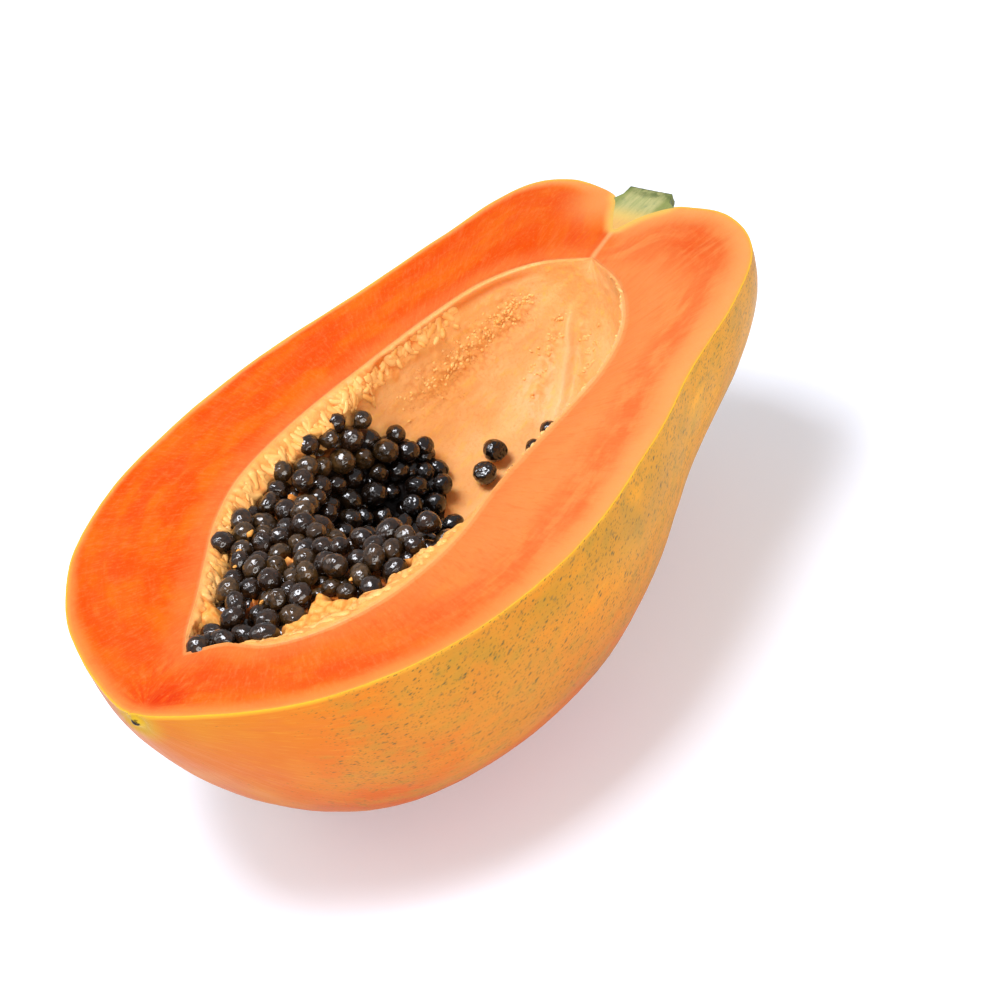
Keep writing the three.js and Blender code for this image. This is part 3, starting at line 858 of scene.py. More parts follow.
# [x, shares of the half width that the outermost seeds reach on the near and on the far side]
HEAP_EDGES = [
    (25, -0.2, 0.1),
    (30, -0.5, 0.35),
    (36, -0.54, 0.5),
    (44, -0.33, 0.66),
    (54, -0.35, 0.8),
    (59, -0.52, 0.86),
    (63, -0.74, 0.88),
    (68, -0.68, 0.9),
    (75, -0.56, 0.91),
    (80, -0.74, 0.91),
    (92, -0.78, 0.91),
    (136, -0.8, 0.91),
]
EDGE_TABLES = [np.array(HEAP_EDGES)[:, [0, side]].T for side in (1, 2)]
FRONT_CLEAR = 2.5
LOWER_LAYER = 4.3
LOWER_SIZE = 0.97
WALL_BITE = 0.6
TIP_PLACES = [(25.2, 0.9, -1.0), (28.3, 0.6, -1.7)]
TIP_RADII = [1.5, 2.0]
HEAP_MIDDLE = 82
CLOUD_END = 136
CLOUD_REACH = 0.98
CLOUD_COLUMNS = 90
LINE_POINTS = 200
HEAP_DRAW = 20260  # starts the random draws
# how many radii of a seed the cavity's half width has to be for it
ROOM = 1.05
ROOM_BELOW = 1.6
# the loose seeds from this number on are smaller and lie a little nearer and lower
SMALLER_FROM = 3
SMALLER = 0.86
SHIFT = [-0.4, -1.4, -0.4]
SEED_MERGE = 1e-8
STRETCHES = ((0.95, 1.16), (0.92, 1.03), (0.9, 1.02))
DENTS = (0, 0.08, 0.2)
PULP_ROWS = 150
PULP_COLUMNS = 120
PULP_REACH = 0.97
# scraps of pulp between the seeds near the tip: up to this x, over this z
PULP_BITS = {"number": 7, "until": 66, "over": -6, "sizes": (0.35, 0.75), "rise": (1.0, 2.0)}


def unit_sphere(level):
    made = bpy.data.meshes.new("sphere")
    sphere = bmesh.new()
    bmesh.ops.create_icosphere(sphere, subdivisions=level, radius=1)
    sphere.to_mesh(made)
    sphere.free()
    points = np.array([v.co for v in made.vertices])
    faces = np.array([list(f.vertices) for f in made.polygons])
    bpy.data.meshes.remove(made)
    return points, faces


def turned(points, a, b):
    """The points turned round z and then round y."""
    around_z = np.array([[math.cos(a), -math.sin(a), 0], [math.sin(a), math.cos(a), 0], [0, 0, 1]])
    around_y = np.array([[math.cos(b), 0, math.sin(b)], [0, 1, 0], [-math.sin(b), 0, math.cos(b)]])
    return points @ around_z.T @ around_y.T


def heap_cloud():
    """Points all over the heap's surface with the directions that stand out from it."""
    rows = np.arange(HEAP_START - 3, CLOUD_END, 1.0)
    columns = np.linspace(-CLOUD_REACH, CLOUD_REACH, CLOUD_COLUMNS)
    x, share = np.meshgrid(rows, columns, indexing="ij")
    grid = heap_points(x.ravel(), share.ravel()).reshape(*x.shape, 3)
    out = facing(normals_of(grid), [0, 0, 1])
    inside = x < heap_end(share) + 1.5
    return grid[inside], out[inside]


def first_places(draw, missing=0.0):
    """Evenly spaced rows of places over the heap, each moved a little."""
    places = []
    offset = 0
    for x in np.arange(HEAP_START - 0.5, HEAP_FRONT["x"] + HEAP_FRONT["bulge"], ROW_PITCH):
        share = np.linspace(*(np.interp(x, *edge) for edge in EDGE_TABLES), LINE_POINTS)
        line = heap_points(np.full(LINE_POINTS, x), share)
        walked = arc_lengths(line)
        for at in np.arange(offset, walked[-1], SEED_PITCH):
            here = x < heap_end(np.interp(at, walked, share)) - FRONT_CLEAR
            if here and draw.random() >= missing:
                place = along_line(line, walked, at)
                places.append([v + draw.uniform(-SEED_JITTER, SEED_JITTER) for v in place])
        offset = SEED_PITCH / 2 - offset
    return np.array(places)


def pushed(places, radii, others, other_radii, contact):
    """The places, moved off the other seeds that they sink into."""
    soft, share = contact
    gap = places[:, None] - others[None]
    apart = np.linalg.norm(gap, axis=-1)
    apart[apart == 0] = np.inf
    overlap = np.maximum(radii[:, None] + other_radii[None] - soft - apart, 0)
    return places + (gap / apart[..., None] * overlap[..., None] * share).sum(1)


def off_the_wall(places, radii):
    """Places kept inside the cavity, where its wall is met."""
    middle, across, half = section_at(places[:, 0])
    side = ((places[:, :2] - middle) * across).sum(1)
    depth = half * CAVITY_DEPTH_RATIO
    reach = np.hypot(side, np.minimum(places[:, 2], 0) * half / depth)
    most = np.maximum(half - radii + WALL_BITE, 0.15 * half)
    shrink = np.minimum(1, most / np.maximum(reach, 1e-6))
    flat = places[:, :2] - across * (side * (1 - shrink))[:, None]
    return np.column_stack([flat, places[:, 2] * np.where(places[:, 2] < 0, shrink, 1)])


def settled(places, radii, proud, keep_clear=None):
    """Places after the seeds have pushed each other apart, at their heights from the heap's surface."""
    cloud, out = heap_cloud()
    for _ in range(SETTLING_STEPS):
        nearest = ((places[:, None] - cloud[None]) ** 2).sum(-1).argmin(1)
        goal = cloud[nearest] + out[nearest] * proud[:, None]
        off = ((places - goal) * out[nearest]).sum(1)
        places = places - out[nearest] * (0.5 * off)[:, None]
        places = places + 0.05 * (goal - places)
        places = pushed(places, radii, places, radii, OWN_LAYER)
        if keep_clear:
            places = pushed(places, radii, *keep_clear, OTHER_LAYER)
        places = off_the_wall(places, radii)
    return places


def seed_points(sphere, centre, radius, number, draw):
    """One seed's surface: an uneven ellipsoid, some with a dent, in a wrinkled coat."""
    stretch = np.array([draw.uniform(*limits) for limits in STRETCHES]) * [SEED_LENGTHENING, 1, 1]
    wrinkles = 1 - np.abs(noise(sphere + 3.1 * number, 0.42, 9))
    coat = 0.035 * fractal(sphere + 7.3 * number, 0.8, 3, 2) + 0.035 * wrinkles**3
    dent = Vector([draw.uniform(-1, 1) for _ in range(3)]).normalized()
    coat -= draw.choice(DENTS) * smoothstep(sphere @ np.array(dent), 0.55, 1)
    points = sphere * (0.96 + coat)[:, None] * stretch * radius
    return turned(points, draw.uniform(0, math.pi), draw.uniform(0, math.pi)) + centre


def seed_mesh(name, centres, radii, level, material, draw):
    sphere, faces = unit_sphere(level)
    parts = MeshParts()
    for number, (centre, radius) in enumerate(zip(centres, radii)):
        points = seed_points(sphere, centre, radius, number, draw)
        # deep: how low the seed lies in the hollow; the seeds' look darkens with it as painted shade
        parts.add(points, faces, tint=draw.random(), deep=smoothstep(-centre[2], 9, 24))
    return parts.build(name, material, merge=SEED_MERGE)


def loose_place(x, share):
    """The centre of a seed that lies on the cavity's wall."""
    middle, across, half = (value[0] for value in section_at(np.array([float(x)])))
    depth = half * CAVITY_DEPTH_RATIO
    angle = math.acos(share)
    rise = ridge_rise(math.degrees(angle)) + LOOSE_RADIUS * SEED_LENGTHENING + 0.1
    flat = middle + across * (half * share * (1 - rise / depth))
    return np.array([*flat, -(depth - rise) * math.sin(angle)])


def pulp_mesh(centres, draw):
    """The body of the heap under its seeds, from its surface down into the cavity's wall."""
    shape = PULP_ROWS, PULP_COLUMNS
    share = np.linspace(-PULP_REACH, PULP_REACH, PULP_COLUMNS)[None, :] * np.ones((PULP_ROWS, 1))
    end = heap_end(share)
    x = lerp(HEAP_START - 1.5, end + 1, np.linspace(0, 1, PULP_ROWS)[:, None])
    top = heap_points(x.ravel(), share.ravel()).reshape(*shape, 3)
    gap = top.reshape(-1, 1, 3) - centres[None]
    apart = np.sqrt((gap**2).sum(-1).min(1)).reshape(shape)
    front = 1 - smoothstep(x, end - 16, end - 8)
    bare = smoothstep(apart, 3.5, 5.2) * smoothstep(top[..., 2], -13, -8) * front
    lumps = 0.8 * fractal(top, 4.5, 15) + 0.3 * fractal(top, 1.6, 17)
    warp = 1.2 * noise(top, 5, 18)
    folds = crumpled(top[..., 0] + warp, top[..., 1] + warp, (2.3, 4.8), 19)
    soft = lerp(-1.4, 0.7, smoothstep(apart, 3.4, 6.2)) + 0.85 * folds + 0.4 * fractal(top, 2.6, 20, 2)
    top[..., 2] += lerp(lumps - 2.9, soft, bare) - 3.6 * smoothstep(x, end - 12, end - 4)
    wall = section_at(x.ravel())[2] * CAVITY_DEPTH_RATIO * np.sqrt(1 - share.ravel() ** 2)
    base = top.copy()
    base[..., 2] = -(wall.reshape(shape) + 0.4)
    top[..., 2] = np.maximum(top[..., 2], base[..., 2] + 0.05)
    parts = MeshParts()
    # deep and crease carry painted shade, deep in the hollow and in the folds' creases
    parts.add_grid(top, deep=smoothstep(-top[..., 2], 5, 13), bare=bare, crease=1 - folds)
    parts.add_grid(base, flip=True, deep=1.0)
    for edge, flip in ((np.s_[0], False), (np.s_[-1], True), (np.s_[:, 0], True), (np.s_[:, -1], False)):
        parts.add_grid([top[edge], base[edge]], flip=flip, deep=1.0)
    add_bits(parts, centres, draw)
    return parts.build("seed_pulp", pulp_look())


def add_bits(parts, centres, draw):
    """Small yellow scraps of pulp left between the seeds near the tip."""
    sphere, faces = unit_sphere(3)
    near = centres[(centres[:, 0] < PULP_BITS["until"]) & (centres[:, 2] > PULP_BITS["over"])]
    for number in range(PULP_BITS["number"]):
        first = near[draw.randrange(len(near))]
        second = near[np.argsort(np.linalg.norm(near - first, axis=1))[1]]
        size = draw.uniform(*PULP_BITS["sizes"])
        centre = (first + second) / 2 + [0, 0, draw.uniform(*PULP_BITS["rise"])]
        ragged = sphere * (1 + 0.4 * fractal(sphere + number, 0.9, 5, 2))[:, None]
        parts.add(centre + ragged * size * [1.4, 0.8, 0.8], faces, bare=1.0)


# ---- Materials ----

STUDIO_GAIN = 1.5
BRIGHTEST = 0.96


def colour(red, green, blue):
    """The base colour that looks like these 0..255 screen values in the studio's bright light."""
    values = [v / 255 for v in (red, green, blue)]
    linear = [v / 12.92 if v <= 0.04045 else ((v + 0.055) / 1.055) ** 2.4 for v in values]
    return tuple(min(v / STUDIO_GAIN, BRIGHTEST) for v in linear) + (1,)


class Value:
    """The output of a node in a look. Its arithmetic adds math nodes."""

    def __init__(self, look, socket):
        self.look, self.socket = look, socket

    def __add__(self, other):
        return self.look.math("ADD", self, other)

    def __sub__(self, other):
        return self.look.math("SUBTRACT", self, other)

    def __mul__(self, other):
        return self.look.math("MULTIPLY", self, other)

    def __truediv__(self, other):
        return self.look.math("DIVIDE", self, other)

    def __pow__(self, other):
        return self.look.math("POWER", self, other)

    def __abs__(self):
        return self.look.math("ABSOLUTE", self)

    def step(self, low, high, to_low=0.0, to_high=1.0):
        """Smooth step of the value from low to high."""
        inputs = {"Value": self, "From Min": low, "From Max": high, "To Min": to_low, "To Max": to_high}
        return self.look.node("MapRange", "Result", inputs, interpolation_type="SMOOTHSTEP")

    def sibling(self, name):
        """Another output of the same node."""
        return Value(self.look, self.socket.node.outputs[name])


def gloss(specular, coat, coat_roughness):
    return {"Specular_IOR_Level": specular, "Coat_Weight": coat, "Coat_Roughness": coat_roughness}


def softness(weight, radius, scale):
    """How deep light goes in."""
    return {"Subsurface_Weight": weight, "Subsurface_Radius": radius, "Subsurface_Scale": scale}


class Look:
    """A node material under construction. Its methods add nodes and give their outputs."""

    def __init__(self, name, **settings):
        self.material = bpy.data.materials.new(name)
        self.material.use_nodes = True
        self.tree = self.material.node_tree
        self.shader = self.tree.nodes["Principled BSDF"]
        self.set(**settings)
        self.mm = self.mapped(self.node("TexCoord", "Object"), Scale=(1000, 1000, 1000))
        self.base = None

    def node(self, kind, output, inputs=None, **settings):
        made = self.tree.nodes.new("ShaderNode" + kind)
        for key, value in settings.items():
            setattr(made, key, value)
        for key, value in (inputs or {}).items():
            self.feed(made.inputs[key], value)
        return Value(self, made.outputs[output])

    def feed(self, socket, value):
        if isinstance(value, Value):
            self.tree.links.new(value.socket, socket)
        else:
            socket.default_value = value

    def set(self, **inputs):
        for key, value in inputs.items():
            self.feed(self.shader.inputs[key.replace("_", " ")], value)

    def fields(self, *names):
        """The mesh's own point values of those names."""
        return [self.node("Attribute", "Fac", attribute_name=name) for name in names]

    def mapped(self, vector, **inputs):
        return self.node("Mapping", "Vector", {"Vector": vector, **inputs})

    def drawn_out(self, vector, share):
        """The vector with its first direction shrunk, so that textures on it are drawn out."""
        return self.mapped(vector, Scale=(share, 1, 1))

    def vector(self, x, y):
        return self.node("CombineXYZ", "Vector", {"X": x, "Y": y})

    def split(self, vector):
        made = self.node("SeparateXYZ", "X", {0: vector})
        return made, made.sibling("Y"), made.sibling("Z")

    def noise(self, size, detail=3.0, roughness=0.55, on=None):
        """Soft noise of a size in millimetres, on the fruit or on another vector."""
        inputs = {"Vector": on or self.mm, "Scale": 1 / size, "Detail": detail, "Roughness": roughness}
        return self.node("TexNoise", "Fac", inputs)

    def cells(self, size, feature="F1", on=None):
        """Distance from the middles of random cells."""
        inputs = {"Vector": on or self.mm, "Scale": 1 / size}
        return self.node("TexVoronoi", "Distance", inputs, feature=feature)

    def math(self, operation, a, b=0.0):
        return self.node("Math", 0, {0: a, 1: b}, operation=operation)

    def spot(self, centre, radius):
        """1 at a place in fruit coordinates, fading to 0 at the radius in millimetres."""
        place = tuple(np.array(centre, float) + FRUIT_ORIGIN)
        away = self.node("VectorMath", "Value", {0: self.mm, 1: place}, operation="DISTANCE")
        return away.step(radius, 0.0)

    def ramp(self, value, *stops):
        """Shades at stops of a value, blended between them."""
        low, high = stops[0][0], stops[-1][0]
        share = self.node("MapRange", "Result", {"Value": value, "From Min": low, "From Max": high})
        shades = self.node("ValToRGB", "Color", {"Fac": share})
        elements = shades.socket.node.color_ramp.elements
        for place, _ in stops[1:-1]:
            elements.new((place - low) / (high - low))
        for element, (_, shade) in zip(elements, stops):
            element.color = colour(*shade)
        return shades

    def mix(self, share, a, b):
        """One shade at share 0, the other at share 1."""
        first, second = (colour(*shade) if isinstance(shade, tuple) else shade for shade in (a, b))
        return self.node("Mix", 2, {0: share, 6: first, 7: second}, data_type="RGBA")

    def paint(self, share, shade):
        """Lays a shade over the base colour, by a share."""
        self.base = self.mix(share, self.base, shade)

    def bump(self, height, distance, strength=1.0, under=None):
        """Fine relief of a depth in millimetres, over another relief."""
        inputs = {"Height": height, "Distance": distance * MM, "Strength": strength}
        if under:
            inputs["Normal"] = under
        return self.node("Bump", "Normal", inputs)

    def done(self, **inputs):
        self.set(Base_Color=self.base, **inputs)
        return self.material


# [size of the cells, how much they are drawn out, crowding from which they show,
#  share of the cell, shade, amount]
FRECKLES = [
    (0.6, 0.6, 0.18, 0.36, (136, 114, 40), 0.7),
    (0.85, 0.5, 0.22, 0.33, (108, 98, 44), 0.85),
    (1.3, 0.45, 0.29, 0.3, (86, 86, 50), 0.85),
    (2.1, 0.5, 0.33, 0.26, (100, 98, 60), 0.5),
    (3.4, 0.55, 0.24, 0.6, (166, 146, 52), 0.25),
]
SLANT = -0.4


def skin_look():
    look = Look("papaya_skin", **gloss(0.1, 0.04, 0.25))
    x, _, z = look.split(look.mm)
    grown = look.vector(*look.fields("around", "girth"))
    patch = look.noise(16, 4, 0.6, on=look.drawn_out(grown, 0.45))
    levels = (0, (206, 82, 12)), (16, (218, 94, 16)), (44, (228, 112, 28)), (72, (238, 136, 28))
    look.base = look.ramp(z, *levels)
    look.paint(x.step(-70, 30) * z.step(18, 60), (272, 184, 6))
    look.paint(look.noise(36, 2).step(0.45, 0.7, 0, 0.5), (236, 158, 44))
    look.paint(patch.step(0.52, 0.74, 0, 0.55), (232, 120, 52))
    look.paint(patch.step(0.52, 0.32, 0, 0.45) * z.step(22, 60) * x.step(-90, -30), (196, 152, 32))
    olive = look.noise(12, 3, 0.5, on=look.drawn_out(grown, 0.7)) * z.step(34, 62)
    olive = olive * x.step(-84, -56) * x.step(60, 0)
    look.paint(olive.step(0.4, 0.62, 0, 0.6), (200, 150, 30))
    streaks = look.noise(1.1, 4, 0.65, on=look.drawn_out(grown, 0.14))
    look.paint(streaks.step(0.5, 0.72, 0, 0.3), (246, 176, 56))
    look.paint(streaks.step(0.46, 0.3, 0, 0.2), (206, 116, 36))
    look.paint(z.step(70.0, 71.3, 0, 0.85), (275, 198, 48))
    # freckles, crowded on the stem half and high up, and sparse at the blossom end
    crowd = look.noise(11, 4, 0.65, on=look.drawn_out(grown, 0.5))
    crowd = crowd + x.step(-100, -68, -0.34, 0.03) + z.step(6, 42, -0.28, 0.04)
    look.paint(crowd.step(0.36, 0.56, 0, 0.4), (208, 142, 48))
    slanted = look.mapped(grown, Rotation=(0, 0, SLANT))
    for size, length, low, reach, shade, amount in FRECKLES:
        cell = look.cells(size, on=look.drawn_out(slanted, length))
        chance = look.split(cell.sibling("Color"))[0]
        present = (crowd - chance * 0.3).step(low, low + 0.12)
        look.paint(cell.step(reach, 0.2 * reach) * present * amount, shade)
    # the blossom's scar, and the paler pit of the stem
    look.paint(look.spot(BLOSSOM_SCAR, 10), (236, 190, 36))
    scar = look.spot(BLOSSOM_SCAR, 2.4) + look.noise(0.9, 2)
    look.paint(scar.step(0.9, 1.15), (44, 30, 16))
    look.paint(x.step(92, 104) * z.step(40, 66) * 0.7, (214, 184, 62))
    pores = look.bump(look.noise(1.1, 3, 0.6), 0.08, 0.5)
    return look.done(
        Roughness=patch.step(0.3, 0.7, 0.38, 0.52),
        Normal=look.bump(look.noise(3.2, 3, on=look.drawn_out(grown, 0.3)), 0.25, 0.3, pores),
        **softness(0.06, (1.0, 0.42, 0.15), 0.003),
    )


# [centre in fruit coordinates, radius, amount, shade]
FLESH_SPOTS = [
    ((7.5, -5, 0), 9, 0.7, (226, 44, 4)),
    ((194.7, -25.7, 0), 21, 0.7, (244, 78, 0)),
    ((190, 26, 0), 22, 0.3, (246, 84, 18)),
    ((188.5, 8.2, 0), 8, 0.7, (246, 84, 34)),
    ((186, -14, 0), 7, 0.4, (246, 100, 44)),
]
# x and y at the blossom end from which its streaks spread
FLESH_TIP = (3.5, -2.5)
# in the frame's millimetres: x and y at which the vein starts, and its slope
VEIN = (76.45, 1.44, 0.1525)
STEM_MIDDLE = 3.2
# in fruit coordinates: a pale spot beside the stem, and its radius
BESIDE_STEM = ((205, 13, 0), 16)


def flesh_look():
    look = Look("papaya_flesh", **gloss(0.05, 0.02, 0.25))
    x, y, _ = look.split(look.mm)
    edge, core, around, zone = look.fields("edge", "core", "around", "zone")
    wander = look.noise(13, 3) - 0.5
    fine = look.noise(1.0, 4, 0.7)
    across = look.noise(2.4, 4, 0.6, on=look.vector(around, edge * 0.25))
    blotch = look.noise(9, 3, 0.5, on=look.vector(around * 0.4, edge))
    look.base = look.mix(blotch.step(0.38, 0.64), (246, 84, 0), (250, 112, 12))
    look.paint((zone * x.step(-80, -20, 0.6, 1.0)).step(1.4, 5.0) * 0.85, (253, 156, 84))
    # a redder band under the pale flesh, and paler flesh towards the cavity
    off = edge + wander * 7.0
    uneven = look.noise(4.5, 4, 0.6, on=look.vector(around * 0.35, edge))
    look.paint(off.step(3.0, 10.0) * off.step(22.0, 11.0) * uneven.step(0.34, 0.6) * 0.5, (247, 84, 24))
    look.paint((core + wander * 5.0).step(9.0, 1.0, 0, 0.55), (252, 134, 66))
    look.paint(core.step(1.2, 0.1, 0, 0.4), (255, 184, 112))
    streaks = look.noise(1.7, 4, 0.62, on=look.vector(around * 0.12, edge))
    strokes = look.noise(0.9, 3, 0.6, on=look.vector(around, edge * 0.3))
    for field, low, high, amount, shade in (
        (streaks, 0.5, 0.74, 0.16, (253, 146, 76)),
        (across, 0.5, 0.74, 0.16, (253, 152, 84)),
        (across, 0.48, 0.3, 0.16, (240, 68, 6)),
        (strokes, 0.5, 0.7, 0.16, (254, 158, 92)),
        (strokes, 0.48, 0.3, 0.18, (242, 76, 10)),
    ):
        look.paint(field.step(low, high, 0, amount), shade)
    paint_blossom_end(look, x, y)
    for centre, radius, amount, shade in FLESH_SPOTS:
        look.paint(look.spot(centre, radius) * across.step(0.28, 0.6) * amount, shade)
    # pale flesh under the skin, and the skin's own line
    pale = look.mix(x.step(-75, 10), (254, 152, 74), (254, 172, 96))
    look.paint(((edge + wander * 2.4) / zone).step(1.9, 0.1, 0, 0.9), pale)
    look.paint(edge.step(1.5, 0.5, 0, 0.6), (255, 172, 72))
    look.paint(edge.step(0.55, 0.25), (268, 196, 60))
    look.paint(fine.step(0.5, 0.76, 0, 0.25), (254, 156, 80))
    paint_stem_side(look, x, y, edge)
    return look.done(
        Roughness=fine.step(0.3, 0.7, 0.36, 0.52),
        Normal=look.bump(across, 0.14, 0.5, look.bump(fine, 0.1, 0.6)),
        **softness(0.2, (1.0, 0.36, 0.12), 0.005),
    )


def paint_blossom_end(look, x, y):
    """Red and pale streaks that spread from the tip."""
    from_tip = x - (FLESH_TIP[0] + FRUIT_ORIGIN[0]), y - (FLESH_TIP[1] + FRUIT_ORIGIN[1])
    turn = look.math("ARCTAN2", from_tip[1], from_tip[0])
    away = (from_tip[0] * from_tip[0] + from_tip[1] * from_tip[1]) ** 0.5
    rays = look.noise(1.0, 3, 0.6, on=look.vector(turn * 6.0, away * 0.1))
    reach = away.step(26.0, 3.0)
    look.paint(rays.step(0.42, 0.66) * reach * 0.65, (236, 54, 8))
    look.paint(rays.step(0.5, 0.3) * reach * 0.4, (253, 134, 62))


def paint_stem_side(look, x, y, edge):
    """A vein between the stem and the cavity, and pale flesh round the stem's root."""
    start_x, start_y, slope = VEIN
    line = y - ((x - start_x) * slope + start_y)
    between = x.step(75.5, 77.5) * x.step(93.0, 88.0)
    look.paint(abs(line - 1.7).step(1.3, 0.3) * between * 0.6, (246, 104, 40))
    look.paint(abs(line).step(1.3, 0.1) * between * 0.55, (255, 200, 130))
    look.paint(look.spot(*BESIDE_STEM), (253, 158, 84))
    neck = x.step(85.5, 88.5) * abs(y - STEM_MIDDLE).step(13, 9)
    look.paint(neck * edge.step(3.4, 0.3), (250, 196, 96))


def lining_look():
    look = Look("cavity_lining", **gloss(0.12, 0.05, 0.2))
    pulpy, crest, valley_shade, rim, strip, pale = look.fields("pulpy", "crest", "valley_shade", "rim", "strip", "pale")
    grain = look.noise(0.8, 4, 0.7)
    stringy = look.noise(2.2, 4, 0.65, on=look.drawn_out(look.mm, 0.3))
    look.base = look.mix(look.noise(14, 3).step(0.35, 0.68), (276, 194, 112), (284, 210, 134))
    look.paint(grain.step(0.46, 0.74, 0, 0.5), (272, 168, 84))
    look.paint(stringy.step(0.5, 0.7, 0, 0.6), (284, 208, 96))
    # the torn strip: crumbs with pale middles, partly painted highlight, and darker orange edges, painted
    # shade; and brown specks between them
    look.paint(strip * 0.7, (258, 166, 76))
    torn = strip * look.noise(4.0, 3).step(0.36, 0.56)
    crumb = look.cells(1.0)
    look.paint(torn * crumb.step(0.42, 0.1, 0, 0.6), (284, 206, 112))
    look.paint(torn * crumb.step(0.42, 0.75, 0, 0.55), (236, 128, 54))
    specks = look.noise(3.6, 3) + strip * 0.2
    for size, reach, low, amount in ((0.6, 0.4, 0.6, 0.4), (0.95, 0.34, 0.64, 0.5)):
        speck = look.cells(size).step(reach, 0.2 * reach) * specks.step(low, low + 0.1)
        look.paint(speck * strip.step(0.0, 0.2) * amount, (206, 104, 40))
    for field, amount, shade in (
        (pulpy, 0.85, (276, 190, 98)),
        # crest: paler fold tops, partly painted highlight; the threads and the knots keep their own pale
        # colour
        (crest, 0.75, (284, 212, 128)),
        # valley_shade: painted shade in the creases, between the pad's lumps and in the rim's groove
        (valley_shade, 0.9, (258, 132, 46)),
        (pale, 0.65, (290, 226, 165)),
    ):
        look.paint(field * amount, shade)
    look.paint(rim.step(1.3, 0.1, 0, 0.65), (268, 158, 84))
    return look.done(
        Roughness=grain.step(0.3, 0.7, 0.3, 0.5),
        Normal=look.bump(stringy, 0.4, 0.6, look.bump(grain, 0.16, 0.7)),
        **softness(0.25, (1.0, 0.45, 0.18), 0.004),
    )


def shred_look():
    look = Look("placenta_shreds", Roughness=0.4, **gloss(0.2, 0.08, 0.15))
    root, low, pale = look.fields("root", "low", "pale")
    grain = look.noise(0.9, 4, 0.65)
    look.base = look.mix(look.noise(5, 2).step(0.35, 0.65), (280, 194, 94), (285, 210, 118))
    look.paint(grain.step(0.5, 0.75, 0, 0.4), (270, 164, 72))
    look.paint(pale * root.step(1.0, 0.4, 0.2, 0.8), (290, 226, 144))
    # painted shade on the sides of the shreds that face the wall
    look.paint(low.step(0.3, 0.8, 0, 0.8), (271, 152, 64))
    return look.done(Normal=look.bump(grain, 0.2, 0.6))


def pulp_look():
    look = Look("seed_pulp", Roughness=0.4, **gloss(0.15, 0.05, 0.12))
    deep, bare, crease = look.fields("deep", "bare", "crease")
    grain = look.noise(1.2, 4, 0.65)
    soft = look.mix(grain.step(0.35, 0.7), (278, 186, 84), (287, 212, 114))
    # painted shade in the creases of the folds
    soft = look.mix(crease.step(0.25, 0.85, 0, 0.65), soft, (262, 140, 46))
    # painted shade: the pulp between and under the seeds is darker
    under = look.mix(grain.step(0.35, 0.7), (150, 64, 18), (206, 112, 38))
    look.base = look.mix(bare.step(0.2, 0.8), under, soft)
    # painted shade: near-black pulp deep in the hollow, most where the seeds cover it
    look.paint(deep * bare.step(1.0, 0.3, 0.35, 1.0), (22, 11, 6))
    return look.done(Normal=look.bump(grain, 0.3, 0.7))


def seed_look():
    look = Look("papaya_seed", Coat_IOR=1.6, **gloss(0.1, 1.0, 0.04))
    tint, deep = look.fields("tint", "deep")
    mottle = look.noise(1.5, 4, 0.65)
    look.base = look.mix(mottle.step(0.35, 0.7), (28, 16, 8), (66, 40, 20))
    olive = look.mix(mottle.step(0.3, 0.7), (52, 36, 18), (108, 76, 38))
    look.paint(tint.step(0.4, 1.0, 0, 0.85), olive)
    # painted shade: seeds deep in the hollow are darkened
    look.paint(deep * 0.85, (10, 6, 4))
    ridges = look.cells(0.9, "SMOOTH_F1")
    coat = look.bump(ridges, 0.2, 1.0, look.bump(look.noise(0.45, 3, 0.6), 0.05, 0.8))
    return look.done(Roughness=mottle.step(0.3, 0.7, 0.22, 0.42), Normal=coat, Coat_Normal=coat)


# y in the frame's millimetres of the paler middle of the stem's cut
CUT_MIDDLE = 3.4


def stem_look(name, roughness, tones):
    """A streaked and spotted look for the stem, before its last touches, and its spots."""
    look = Look(name, Roughness=roughness, Specular_IOR_Level=0.3)
    streaks = look.noise(0.9, 4, 0.65, on=look.drawn_out(look.mm, 0.16))
    spots = look.noise(2.2, 3)
    look.base = look.mix(streaks.step(0.4, 0.62), tones[0], tones[1])
    look.paint(spots.step(0.54, 0.7, 0, 0.7), tones[2])
    look.set(Normal=look.bump(streaks, 0.3, 0.8, look.bump(spots, 0.3, 0.4)))
    return look, spots


def bark_look():
    look, _ = stem_look("stem_bark", 0.6, ((112, 126, 56), (150, 156, 78), (88, 98, 50)))
    [root] = look.fields("root")
    look.paint(root.step(1.0, 0.93), (252, 196, 96))
    return look.done()


def cut_stem_look():
    look, spots = stem_look("stem_cut", 0.5, ((206, 200, 132), (184, 186, 118), (156, 166, 116)))
    [root] = look.fields("root")
    x, y, _ = look.split(look.mm)
    look.paint(abs(y - CUT_MIDDLE).step(4.8, 7.0, 0, 0.75), (140, 152, 74))
    look.paint(x.step(101.5, 104.5) * spots.step(0.35, 0.6, 0.4, 0.9), (104, 118, 60))
    look.paint(root.step(0.95, 0.35), (244, 206, 112))
    look.paint(root.step(0.5, 0.05), (250, 190, 104))
    return look.done()


def end_look():
    look, _ = stem_look("stem_end", 0.7, ((176, 168, 112), (140, 136, 84), (112, 86, 56)))
    return look.done()


def floor_look():
    look = Look("studio_floor", Roughness=0.55)
    look.base = look.mix(look.noise(400, 2), (276, 280, 289), (274, 278, 287))
    return look.done(Emission_Color=(0.94, 0.97, 1.0, 1), Emission_Strength=0.24)


# ---- The studio ----

FLOOR_HALF = 4.0
AIM = Vector((0, 0, 0.04))
SKY = {"colour": (0.96, 0.98, 1.05, 1), "strength": 0.38}


def add_floor():
    mesh = bpy.data.meshes.new("studio_floor")
    corners = [(x * FLOOR_HALF, y * FLOOR_HALF, 0) for x, y in ((-1, -1), (1, -1), (1, 1), (-1, 1))]
    mesh.from_pydata(corners, [], [(0, 1, 2, 3)])
    mesh.materials.append(floor_look())
    add_object("studio_floor", mesh)


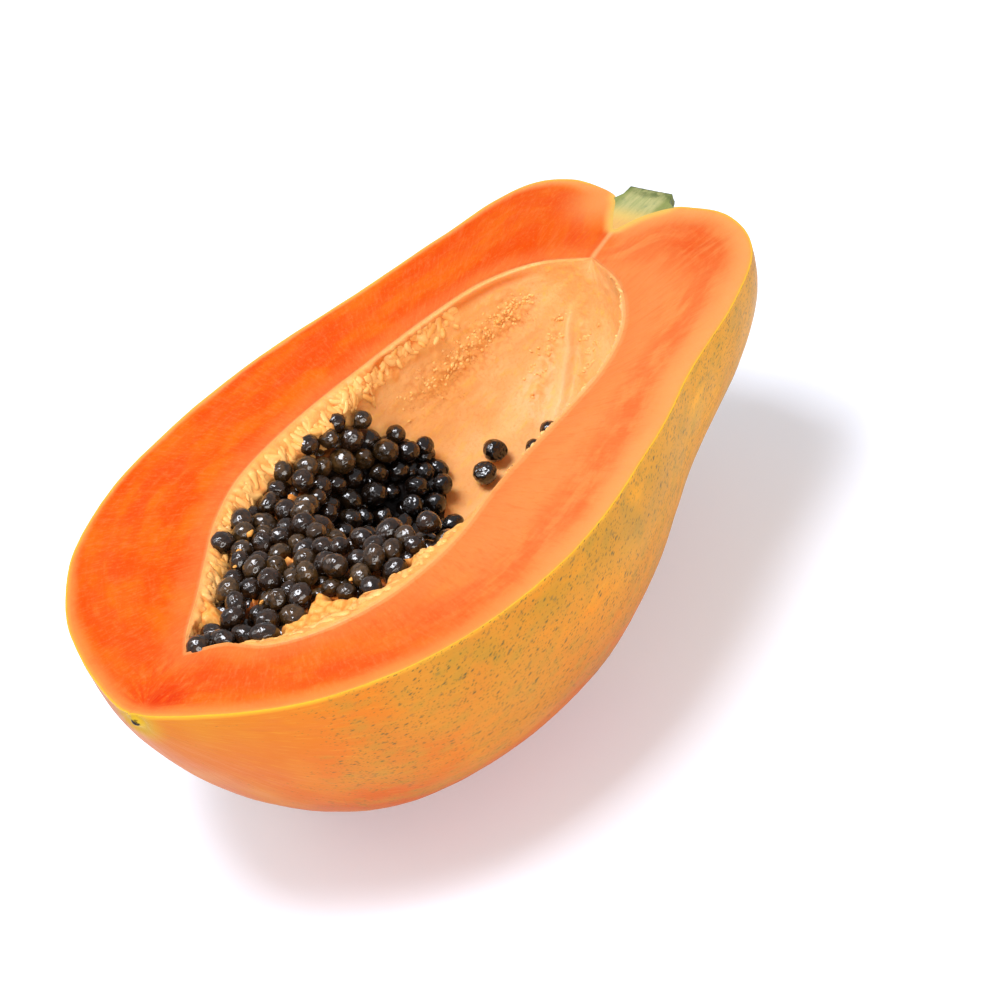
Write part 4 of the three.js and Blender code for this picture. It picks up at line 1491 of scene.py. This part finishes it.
def add_light(name, direction, distance, size, power, tint=(1, 1, 1)):
    """A soft light that far off in a direction, turned to the part."""
    data = bpy.data.lights.new(name, "AREA")
    data.shape = "RECTANGLE"
    data.size, data.size_y = size
    data.energy = power
    data.color = tint
    lamp = add_object(name, data)
    direction = direction.normalized()
    lamp.location = AIM + direction * distance
    lamp.rotation_euler = (-direction).to_track_quat("-Z", "Y").to_euler()


def add_studio():
    add_floor()
    right, up, back = view_axes()
    over = Vector((0, 0, 1))
    level = Vector((back.x, back.y, 0)).normalized()
    above = over + level * 0.12 - right * 0.16
    front = level + right * 0.15 + over * 0.32
    left = -right + up * 0.6 + back * 0.5
    add_light("softbox_above", above, 1.1, (0.5, 0.42), 12.6, (0.95, 0.98, 1.06))
    add_light("softbox_front", front, 1.4, (1.3, 0.7), 16, (1, 0.99, 0.97))
    add_light("strip_left", left, 1.1, (0.35, 0.9), 2.4)
    world = bpy.data.worlds.new("studio")
    world.use_nodes = True
    background = world.node_tree.nodes["Background"]
    background.inputs["Color"].default_value = SKY["colour"]
    background.inputs["Strength"].default_value = SKY["strength"]
    bpy.context.scene.world = world
    bpy.context.scene.view_settings.view_transform = "Standard"


# ---- Assembly ----


def dress(piece, slot, *nodes):
    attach(piece, "root")
    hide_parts(*nodes)


def upper_layer(draw):
    """Centres and radii of the seeds that show."""
    places = first_places(draw, MISSING)
    radii = np.array([draw.uniform(*SIZES) for _ in places])
    proud = np.array([draw.uniform(*PROUD) for _ in places])
    return settled(places, radii, proud), radii


def lower_layer(draw, upper):
    """Centres and radii of the seeds under those that show, where the cavity is deep enough."""
    places = first_places(draw)
    radii = np.array([draw.uniform(*SIZES) * LOWER_SIZE for _ in places])
    places = settled(places, radii, np.full(len(places), -LOWER_LAYER), upper)
    deep_enough = section_at(places[:, 0])[2] > ROOM_BELOW * radii
    return places[deep_enough], radii[deep_enough]


def add_seeds():
    draw = random.Random(HEAP_DRAW)
    material = seed_look()
    upper, radii = upper_layer(draw)
    lower, lower_radii = lower_layer(draw, (upper, radii))
    fits = section_at(upper[:, 0])[2] > ROOM * radii
    upper, radii = np.vstack([upper[fits], TIP_PLACES]), np.append(radii[fits], TIP_RADII)
    tip = upper[:, 0] < HEAP_MIDDLE
    for name, centres, sizes, level in (
        ("tip_seeds", upper[tip], radii[tip], 4),
        ("middle_seeds", upper[~tip], radii[~tip], 4),
        ("deep_seeds", lower, lower_radii, 3),
    ):
        dress(seed_mesh(name, centres, sizes, level, material, draw), "seed", "seeds")
    dress(pulp_mesh(upper, draw), "flesh", "seeds")
    for number, (x, share) in enumerate(LOOSE_SEEDS, 1):
        place, radius = loose_place(x, share), LOOSE_RADIUS
        if number >= SMALLER_FROM:
            place, radius = place + SHIFT, SMALLER * radius
        seed = seed_mesh(f"fallen_seed_{number}", [place], [radius], 5, material, draw)
        dress(seed, "seed", f"loose_seed_{number}")


def main():
    flesh, wall = papaya_mesh()
    dress(flesh, "flesh", "papaya_half")
    dress(shreds_mesh(wall), "flesh", "papaya_half")
    dress(stem_mesh(), "stem", "stem")
    add_seeds()
    add_studio()


main()
